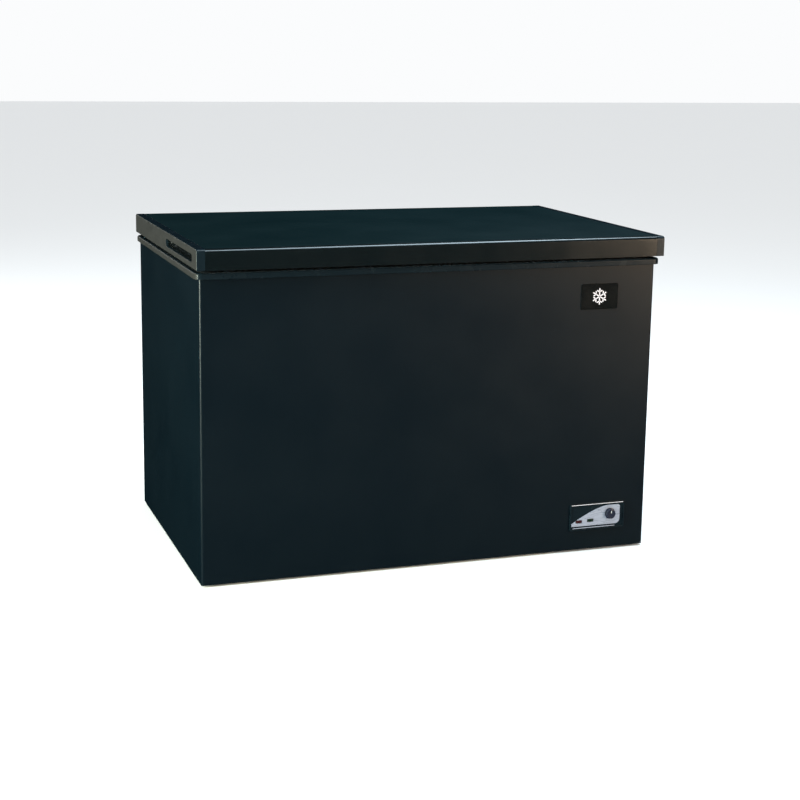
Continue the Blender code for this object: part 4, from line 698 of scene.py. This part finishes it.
def buildEndCap(side, sign):
    low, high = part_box(f"lid_end_cap_{side}")
    look = {"edge": 0.0030, "gripStart": 0.050, "gripLength": 0.320, "gripLow": 0.0145, "gripHeight": 0.019,
            "gripDepth": 0.0135, "wallRun": 0.0042, "lip": 0.0008, "grainAndLitSideLimit": 0.75}
    r, edge = lidLook["railRadius"], look["edge"]
    inner, outer = sorted((abs(low.x), abs(high.x)))
    y0, y1, z0, z1 = low.y, high.y, low.z, high.z
    gripRadius = look["gripHeight"] / 2
    gripZ = z0 + look["gripLow"] + gripRadius
    gripY0 = y0 + look["gripStart"] + gripRadius
    gripY1 = y0 + look["gripStart"] + look["gripLength"] - gripRadius
    ends = [i / 1000 for i in (0, 0.2, 0.6, 1.1, 1.7, 2.4, 3.2, 4.2, 5.2, 6.2, 7.2, 8.2, 10, 14)]
    columns = {y0 + e for e in ends} | {y1 - e for e in ends}
    for centre in (gripY0, gripY1):
        columns |= {centre + k * 0.001 for k in range(-14, 15)}
    start = y0 + 0.02
    while start < y1 - 0.02:
        columns.add(round(start, 4))
        start += 0.008
    columns = sorted(columns)
    columns = [y for i, y in enumerate(columns) if i == 0 or y - columns[i - 1] > 0.00015]
    # rows in mm up a 52 mm end, close together where the edges and the grip's rim curve
    rows = [0, 0.2, 0.6, 1.1, 1.7, 2.4, 3.2, 6, 10, 12.6, 13.4, 14.0, 14.5, 15.0, 15.6, 16.4, 17.4, 18.6,
            20.2, 22, 24, 26, 27.8, 29.4, 30.6, 31.6, 32.4, 33.0, 33.5, 34.0, 34.6, 35.4, 38, 41, 44, 46,
            47.4, 48.8, 49.6, 50.3, 50.9, 51.4, 51.8, 52]
    rows = [t / rows[-1] for t in rows]

    def crown(y):  # height of the outline at y
        near = min(y - y0, y1 - y)
        return z1 if near >= r else z1 - r + math.sqrt(max(r * r - (r - near) ** 2, 0.0))

    def toEdge(y, z):  # distance to the outline
        nearY, nearZ = min(y - y0, y1 - y), z1 - z
        if nearY < r and nearZ < r:
            upper = r - math.hypot(r - nearY, r - nearZ)
        else:
            upper = min(nearY, nearZ)
        return max(min(upper, z - z0), 0.0)

    def hollow(y, z):
        along = min(max(y, gripY0), gripY1)
        inside = gripRadius - math.hypot(y - along, z - gripZ)
        t = min(max((inside + look["lip"]) / look["wallRun"], 0.0), 1.0)
        return look["gripDepth"] * t * t * (3 - 2 * t)
    bm = bmesh.new()
    grid, deep = [], {}
    for y in columns:
        line = []
        for t in rows:
            z = z0 + (crown(y) - z0) * t
            d = min(toEdge(y, z), edge)
            drop = edge - math.sqrt(edge * edge - (edge - d) ** 2)
            cut = hollow(y, z)
            vert = bm.verts.new((sign * (outer - drop - cut), y, z))
            deep[vert] = cut
            line.append(vert)
        grid.append(line)
    for i in range(len(grid) - 1):
        for j in range(len(rows) - 1):
            face = bm.faces.new((grid[i][j], grid[i + 1][j], grid[i + 1][j + 1], grid[i][j + 1]))
            # faces deep in the grip take the darker polished ABS: painted shade in the recess
            if sum(deep[v] for v in face.verts) / 4 > 0.45 * look["gripDepth"]:
                face.material_index = 1
    border = ([line[0] for line in grid] + grid[-1][1:] + [line[-1] for line in reversed(grid[:-1])]
              + list(reversed(grid[0][1:-1])))
    backLoop = [bm.verts.new((sign * inner, v.co.y, v.co.z)) for v in border]
    for i in range(len(border)):
        j = (i + 1) % len(border)
        bm.faces.new((border[i], border[j], backLoop[j], backLoop[i]))
    bm.faces.new(backLoop)
    bm.normal_update()
    for face in bm.faces:  # only the broad side is grained and painted lighter grey, as if lit; top, front and back are smooth and darker, as painted shade
        if face.material_index == 0 and abs(face.normal.x) < look["grainAndLitSideLimit"]:
            face.material_index = 2
    addPiece(f"lidEndCap_{side}", bm, [grainedAbsLitGrey, polishedAbsAndRecessShade, smoothDarkAbsAndShade], "lid",
             [f"lid_end_cap_{side}"], 50)


def buildInnerPanel():
    look = {"sheet": 0.0014, "border": 0.085, "dish": 0.005, "slope": 0.012,
            "ribInset": 0.045, "ribWidth": 0.006, "ribDepth": 0.0012}
    low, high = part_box("lid_inner_panel")
    top, border, dish = high.z, look["border"], look["dish"]
    plan = [(0.0, top, 0.002), (border - 0.003, top, 0.030)]  # inset, height, corner radius
    for i in range(9):  # the step down into the dished middle
        t = i / 8
        plan.append((border + look["slope"] * t, top - dish * (t * t * (3 - 2 * t)), 0.033))
    rib = border + look["ribInset"]
    plan.append((rib, top - dish, 0.02))
    for i in range(1, 7):
        rise = look["ribDepth"] * math.sin(math.pi * i / 6)
        plan.append((rib + look["ribWidth"] * i / 6, top - dish + rise, 0.018))
    bm = bmesh.new()
    skinRings(bm, [outlineRing(low, high, 2, inset, z, radius, 6) for inset, z, radius in plan], capEnd=True)
    bmesh.ops.recalc_face_normals(bm, faces=bm.faces)
    if sum(f.normal.z for f in bm.faces) < 0:
        bmesh.ops.reverse_faces(bm, faces=bm.faces[:])
    piece = addPiece("lidInnerPanel", bm, formedPolystyrene, "lid", ["lid_inner_panel"],
                     recalc=False)
    thicken(piece, look["sheet"], -1.0)


def buildSeal():
    low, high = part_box("lid_gasket")
    height = high.z - low.z
    # bellows section: distance in from the outer edge, share of the height
    section = [(0.0012, 1.0), (0.0004, 0.94), (0.0, 0.86), (0.0006, 0.76), (0.0022, 0.70), (0.0022, 0.62),
               (0.0004, 0.55), (0.0, 0.45), (0.0006, 0.36), (0.0016, 0.30), (0.0016, 0.24), (0.0006, 0.18),
               (0.0004, 0.08), (0.0012, 0.0), (0.0105, 0.0), (0.0113, 0.08), (0.0111, 0.20), (0.0100, 0.28),
               (0.0102, 0.42), (0.0130, 0.52), (0.0168, 0.62), (0.0179, 0.72), (0.0180, 0.90), (0.0172, 1.0)]
    corner = 0.015
    bm = bmesh.new()
    skinRings(bm, [outlineRing(low, high, 2, inset, low.z + height * share, corner - inset / 2)
                   for inset, share in section], closed=True)
    addPiece("lidSeal", bm, sealPvc, "lid", ["lid_gasket"], 60)


buildLidTop()
buildEndCap("left", -1)
buildEndCap("right", 1)
buildInnerPanel()
buildSeal()
print("lid built")


# hinges: pins and springs

def buildHinges():
    look = {"springTurns": 6, "springWire": 0.0009, "perTurn": 24}
    for side in ("left", "right"):
        low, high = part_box(f"hinge_pin_{side}")
        y, z = middleOf(f"hinge_pin_{side}")[1:]
        r = (high.z - low.z) / 2
        length = high.x - low.x
        profile = [(0.0, 0.0), (0.7 * r, 0.0), (r, 0.0006), (r, length - 0.0006), (0.7 * r, length),
                   (0.0, length)]
        bm = bmesh.new()
        addLathe(bm, profile, (low.x, y, z), (1, 0, 0), 36)
        addPiece(f"hingePin_{side}", bm, zincPlate, "cabinet", [f"hinge_pin_{side}"])
        low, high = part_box(f"hinge_spring_{side}")
        reach = (high.y - low.y) / 2 - look["springWire"] - 0.0002
        span = high.x - low.x - 2 * look["springWire"]
        count = look["springTurns"] * look["perTurn"]
        points = []
        for i in range(count + 1):
            turn = 2 * math.pi * i / look["perTurn"]
            points.append((low.x + look["springWire"] + span * i / count, y + reach * math.cos(turn),
                           z + reach * math.sin(turn)))
        bm = bmesh.new()
        addTube(bm, points, look["springWire"], 8)
        addPiece(f"hingeSpring_{side}", bm, springSteel, "cabinet", [f"hinge_spring_{side}"])


buildHinges()
print("hinges built")


# controls and badge

controlLook = {
    "bezelEdge": 0.0011, "corner": 0.004, "leastCorner": 0.0012, "border": 0.004, "recess": 0.002,
    "ticks": 9, "tickArc": (-225, 45), "tickLength": 0.0022, "tickWidth": 0.0006, "tickGap": 0.0008,
    "tickMargin": 0.001, "flutes": 18, "fluteDepth": 0.0007, "pointerWidth": 0.0018,
}


def buildBezel():
    look = controlLook
    low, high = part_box("control_bezel")
    face, edge, border = low.y, look["bezelEdge"], look["border"]
    section = [(0.0, high.y), (0.0, face + edge), (0.29 * edge, face + 0.29 * edge), (edge, face),
               (border - 0.5 * edge, face), (border - 0.15 * edge, face + 0.15 * edge),
               (border, face + 0.5 * edge), (border, face + look["recess"])]
    bm = bmesh.new()
    skinRings(bm, [outlineRing(low, high, 1, inset, y, max(look["corner"] - inset, look["leastCorner"]), 6)
                   for inset, y in section], capStart=True, capEnd=True)
    addPiece("controlBezel", bm, smoothDarkAbsAndShade, "cabinet", ["control_bezel"])
    bm = bmesh.new()  # a thin pale strip on the bezel's top edge: a painted highlight where the raised edge catches light
    addBlock(bm, (low.x + 0.004, face - 0.0002, high.z - 0.0026),
             (high.x - 0.004, face + 0.0004, high.z - 0.0012), 0.0001, 1)
    addPiece("bezelPaintedHighlight", bm, emblemFoilAndPaintedHighlight, "cabinet")


def buildLabel():
    # printed sail-shaped label and a thin stripe under it
    low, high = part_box("control_label")
    width, height = high.x - low.x, high.z - low.z
    corner = 0.09 * width  # the two right-hand corners are rounded
    outline = [(0.0, 0.0)]
    outline += arcPoints((width - corner, corner), corner, 270, 360, 7)
    outline += arcPoints((width - 0.5 * corner, height - 0.5 * corner), 0.5 * corner, 0, 90, 5)
    for i in range(17):  # the top runs level, then falls in one long curve to the tip
        x = 0.74 * (1 - i / 16)
        outline.append((x * width, height * (1 - 0.85 * (1 - x / 0.74) ** 1.45)))
    rings = []
    for shrink, y in ((1.0, high.y), (1.0, low.y + 0.0002), (0.992, low.y)):
        rings.append([(low.x + width / 2 + (x - width / 2) * shrink, y,
                       low.z + height / 2 + (z - height / 2) * shrink) for x, z in outline])
    bm = bmesh.new()
    skinRings(bm, rings, capStart=True, capEnd=True)
    addPiece("controlLabel", bm, printedLabel, "cabinet", ["control_label"])
    bm = bmesh.new()
    addBlock(bm, (low.x + 0.004, low.y, low.z - 0.0062), (high.x - 0.014, high.y, low.z - 0.0042), 0.0002, 1)
    addPiece("controlStripe", bm, printedLabel, "cabinet")


def buildLamps():
    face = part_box("control_label")[0].y
    section = [(0.0004, face - 0.0001), (0.0004, face - 0.0005), (0.0012, face - 0.0005),
               (0.0015, face - 0.0002), (0.0015, face - 0.0001)]  # growth round the lens, place
    for node, name, finish, slotName in (("power_lamp", "powerLamp", redLens, "red_lens"),
                                         ("run_lamp", "runLamp", greenLens, "green_lens")):
        low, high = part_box(node)
        bm = bmesh.new()
        addBlock(bm, low, high, 0.0005, 3)
        addPiece(name, bm, finish, "cabinet", [node])
        bm = bmesh.new()  # dark frame round the lens
        skinRings(bm, [outlineRing(low, high, 1, -grow, y, 0.0003 + grow, 4) for grow, y in section],
                  closed=True)
        addPiece(name + "Frame", bm, mouldedAbs, "cabinet")


def buildDial():
    # fluted skirt, domed top and a pale pointer
    look = controlLook
    low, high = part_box("thermostat_knob")
    r, h = (high.x - low.x) / 2, high.y - low.y
    x, z = middleOf("thermostat_knob")[::2]
    shares = [(0.0, 0.0), (0.97, 0.0), (1.0, 0.04), (1.0, 0.13), (0.97, 0.18), (0.87, 0.22), (0.86, 0.30),
              (0.85, 0.86), (0.83, 0.93), (0.79, 0.98), (0.74, 1.0), (0.64, 0.995), (0.60, 0.975),
              (0.3, 0.965), (0.0, 0.96)]
    bm = bmesh.new()
    addLathe(bm, scaled(shares, r, h), (x, high.y, z), (0, -1, 0), 144,
             (look["flutes"], look["fluteDepth"], 0.25 * h, 0.90 * h))
    addPiece("thermostatDial", bm, dialAbs, "knob", ["thermostat_knob"])
    half = look["pointerWidth"] / 2
    bm = bmesh.new()
    addBlock(bm, (x - half, low.y + 0.0001, z + 0.15 * r),
             (x + half, low.y + 0.0012, z + 0.72 * r), 0.0003, 2)
    addPiece("dialPointer", bm, formedPolystyrene, "knob")


def buildDialMarks():
    # marks round the dial, each a little longer than the last, kept to the label
    look = controlLook
    low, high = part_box("control_label")
    knobLow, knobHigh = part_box("thermostat_knob")
    x, z = middleOf("thermostat_knob")[::2]
    base = Vector((x, low.y - 0.00006, z))
    reach, margin = (knobHigh.x - knobLow.x) / 2 + look["tickGap"], look["tickMargin"]
    start, end = look["tickArc"]
    bm = bmesh.new()
    for i in range(look["ticks"]):
        angle = math.radians(start + (end - start) * i / (look["ticks"] - 1))
        out = Vector((math.cos(angle), 0.0, math.sin(angle)))
        across = Vector((-math.sin(angle), 0.0, math.cos(angle))) * look["tickWidth"] / 2
        long = look["tickLength"] * (0.6 + 0.05 * i)
        corners = [base + out * reach + across, base + out * reach - across,
                   base + out * (reach + long) - across, base + out * (reach + long) + across]
        onLabel = (min(c.z for c in corners) > low.z + margin and max(c.z for c in corners) < high.z - margin
                   and max(c.x for c in corners) < high.x - margin)
        if onLabel:
            back = [c + Vector((0.0, 0.0002, 0.0)) for c in corners]
            skinRings(bm, [corners, back], capStart=True, capEnd=True)
    addPiece("dialMarks", bm, printedInk, "cabinet")


def buildBadge():
    low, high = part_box("badge_plate")
    corner = 0.004
    section = [(0.0, high.y), (0.0, low.y + 0.0005), (0.0005, low.y), (0.0030, low.y),
               (0.0034, low.y + 0.0003)]
    bm = bmesh.new()
    skinRings(bm, [outlineRing(low, high, 1, inset, y, corner - inset, 6) for inset, y in section],
              capStart=True, capEnd=True)
    addPiece("badgePlate", bm, polishedAbsAndRecessShade, "cabinet", ["badge_plate"])
    # a plain six-armed snow crystal, the usual sign for freezing
    look = {"arm": 0.0215, "branch": 0.0085, "width": 0.0030, "rise": 0.0003}
    x, z = middleOf("badge_plate")[::2]
    centre = Vector((x, low.y + 0.0003, z))
    bm = bmesh.new()

    def addBar(start, end):
        along = (end - start).normalized()
        across = Vector((-along.z, 0.0, along.x)) * look["width"] / 2
        corners = [start + across, start - across, end - across, end + across]
        front = [c - Vector((0.0, look["rise"], 0.0)) for c in corners]
        skinRings(bm, [corners, front], capStart=True, capEnd=True)
    for i in range(6):
        angle = math.radians(60 * i + 30)
        out = Vector((math.cos(angle), 0.0, math.sin(angle)))
        addBar(centre, centre + out * look["arm"])
        for turn in (-60, 60):
            tilt = angle + math.radians(turn)
            root = centre + out * look["arm"] * 0.55
            addBar(root, root + Vector((math.cos(tilt), 0.0, math.sin(tilt))) * look["branch"])
    addPiece("badgeEmblem", bm, emblemFoilAndPaintedHighlight, "cabinet")


buildBezel()
buildLabel()
buildLamps()
buildDial()
buildDialMarks()
buildBadge()
print("controls built")


# basket

def buildBasket():
    look = {"rim": 0.0024, "wire": 0.0014, "acrossPitch": 0.026, "alongPitch": 0.029, "hang": 0.0095,
            "drop": 0.010, "corner": 0.024, "bend": 0.010, "acrossBend": 0.7, "taper": 0.001,
            "hoops": (0.33, 0.66)}
    low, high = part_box("wire_basket")
    rim, wire, corner = look["rim"], look["wire"], look["corner"]
    rimZ = high.z - rim
    x0, x1 = low.x + rim, high.x - rim
    y0, y1 = low.y + rim, high.y - rim
    bottom = low.z + wire
    wallY0, wallY1, shoulder = y0 + look["hang"], y1 - look["hang"], rimZ - look["drop"]
    bm = bmesh.new()
    addTube(bm, [(x, y, rimZ) for x, y in roundedRect((x0, y0), (x1, y1), corner)], rim, 12, closed=True)
    count = round((x1 - x0 - 2 * corner) / look["acrossPitch"])
    for i in range(count + 1):
        x = x0 + corner + (x1 - x0 - 2 * corner) * i / count
        route = [(x, y0, rimZ), (x, wallY0, shoulder), (x, wallY0, bottom), (x, wallY1, bottom),
                 (x, wallY1, shoulder), (x, y1, rimZ)]
        addTube(bm, bentPath(route, look["bend"] * look["acrossBend"]), wire, 8)
    count = round((y1 - y0 - 2 * corner) / look["alongPitch"])
    base, taper = bottom + 2 * wire, look["taper"]
    for i in range(count + 1):
        y = y0 + corner + (y1 - y0 - 2 * corner) * i / count
        route = [(x0, y, rimZ), (x0 + taper, y, base), (x1 - taper, y, base), (x1, y, rimZ)]
        addTube(bm, bentPath(route, look["bend"]), wire, 8)
    for share in look["hoops"]:
        z = bottom + (rimZ - bottom) * share
        hoop = roundedRect((x0 + 2 * wire, wallY0 + 2 * wire), (x1 - 2 * wire, wallY1 - 2 * wire), corner)
        addTube(bm, [(x, y, z) for x, y in hoop], wire, 8, closed=True)
    addPiece("wireBasket", bm, coatedWire, "basket", ["wire_basket"], 60)


buildBasket()
print("basket built")


# CAD nodes that keep their shape

keptNodes = [
    # finish, soft edge, nodes
    (preCoatedSteel, 0.0, ["rear_panel"]),
    (galvanisedSteel, 0.0, ["base_panel", "compressor_deck", "compartment_wall", "rear_access_cover"]),
    (galvanisedSteel, 0.0008, ["thermostat_body"]),
    (bakedEnamel, 0.0, ["condenser_coil"]),
    (bakedEnamel, 0.0005, ["compressor_bracket"]),
    (drawnCopper, 0.0, ["evaporator_coil", "suction_pipe", "discharge_pipe", "filter_drier"]),
    (zincPlate, 0.0, ["thermostat_spindle"]),
    (zincPlate, 0.0004, ["hinge_base_left", "hinge_base_right", "hinge_leaf_left", "hinge_leaf_right"]),
    (mouldedAbs, 0.0, ["start_relay_box", "cord_inlet"]),
    (phenolicBoard, 0.0, ["lamp_board"]),
    (rigidFoam, 0.0, ["foam_left", "foam_right", "foam_front", "foam_rear", "foam_floor", "lid_foam"]),
]
for finish, softEdge, names in keptNodes:
    for name in names:
        dress(name, finish, softEdge)
print("CAD nodes dressed:", sum(len(names) for finish, softEdge, names in keptNodes))


# floor, light and camera

stageLook = {
    "floorColour": "#e9ebec", "floorSize": 60.0,
    "skyColour": "#fbfcfd", "skyStrength": 1.0,
    "lights": {
        # name: place, aim, width, height, watts, colour
        "overheadSoftbox": ((0.9, -0.25, 3.2), (0.5, 0.0, 0.85), 3.8, 1.0, 130, "#d8f0ff"),
        "leftSoftbox": ((-3.4, -1.1, 0.95), (-0.6, -0.2, 0.45), 0.9, 1.8, 230, "#f0fae8"),
        "rearSoftbox": ((-3.0, 3.2, 2.4), (0.0, 0.3, 0.4), 1.6, 1.6, 70, "#ffffff"),
        "rightFrontSoftbox": ((3.0, -3.4, 1.05), (0.5, -0.4, 0.5), 1.2, 1.4, 85, "#ffe2c2"),
    },
}
cameraLook = {
    "azimuth": -19.418, "elevation": 11.026, "roll": 0.886, "distance": 4.432,
    "aim": (0.0388, 0.0, 0.4920), "sensorMm": 36.0, "lensMm": 71.775, "shiftY": -0.06, "clipEnd": 200.0,
}


def buildStage():
    look = stageLook
    half = look["floorSize"] / 2
    corners = ((-half, -half, 0), (half, -half, 0), (half, half, 0), (-half, half, 0))
    bm = bmesh.new()
    bm.faces.new([bm.verts.new(corner) for corner in corners])
    floor = meshObject("studioFloor", bm)
    paint = makeFinish("pale matte studio floor", {
        "tones": (look["floorColour"], look["floorColour"]), "roughness": (0.85, 0.9), "cloudMm": 900.0,
        "grainMm": 5.0, "reliefMm": 0.01, "shader": {"Specular IOR Level": 0.1}})
    floor.data.materials.append(paint)
    floor.visible_glossy = False  # black flags: the dark paint doesn't mirror the pale floor
    sky = bpy.data.worlds.new("studioAir")
    sky.use_nodes = True
    air = sky.node_tree.nodes["Background"]
    air.inputs["Color"].default_value = hexToLinear(look["skyColour"])
    air.inputs["Strength"].default_value = look["skyStrength"]
    bpy.context.scene.world = sky
    sky.cycles_visibility.glossy = False
    for name, (place, aim, width, height, watts, colour) in look["lights"].items():
        lamp = bpy.data.lights.new(name, "AREA")
        lamp.shape, lamp.size, lamp.size_y = "RECTANGLE", width, height
        lamp.energy, lamp.color = watts, hexToLinear(colour)[:3]
        holder = linkObject(name, lamp)
        holder.location = place
        holder.rotation_euler = (Vector(place) - Vector(aim)).to_track_quat("Z", "Y").to_euler()
        holder.visible_camera = False


def buildCamera():
    look = cameraLook
    a, e, roll = (math.radians(look[k]) for k in ("azimuth", "elevation", "roll"))
    back = Vector((math.sin(a) * math.cos(e), -math.cos(a) * math.cos(e), math.sin(e)))
    right = Vector((math.cos(a), math.sin(a), 0.0))
    up = back.cross(right)
    across = math.cos(roll) * right + math.sin(roll) * up
    upright = math.cos(roll) * up - math.sin(roll) * right
    turn = Matrix((across, upright, back)).transposed()
    lens = bpy.data.cameras.new("studioCamera")
    lens.sensor_width = look["sensorMm"]
    lens.lens = look["lensMm"]
    lens.shift_y = look["shiftY"]
    lens.clip_end = look["clipEnd"]
    camera = linkObject("studioCamera", lens)
    camera.matrix_world = Matrix.Translation(Vector(look["aim"]) + back * look["distance"]) @ turn.to_4x4()
    bpy.context.scene.camera = camera


buildStage()
buildCamera()
bpy.context.scene.view_settings.view_transform = "Standard"
print("stage, light and camera set")
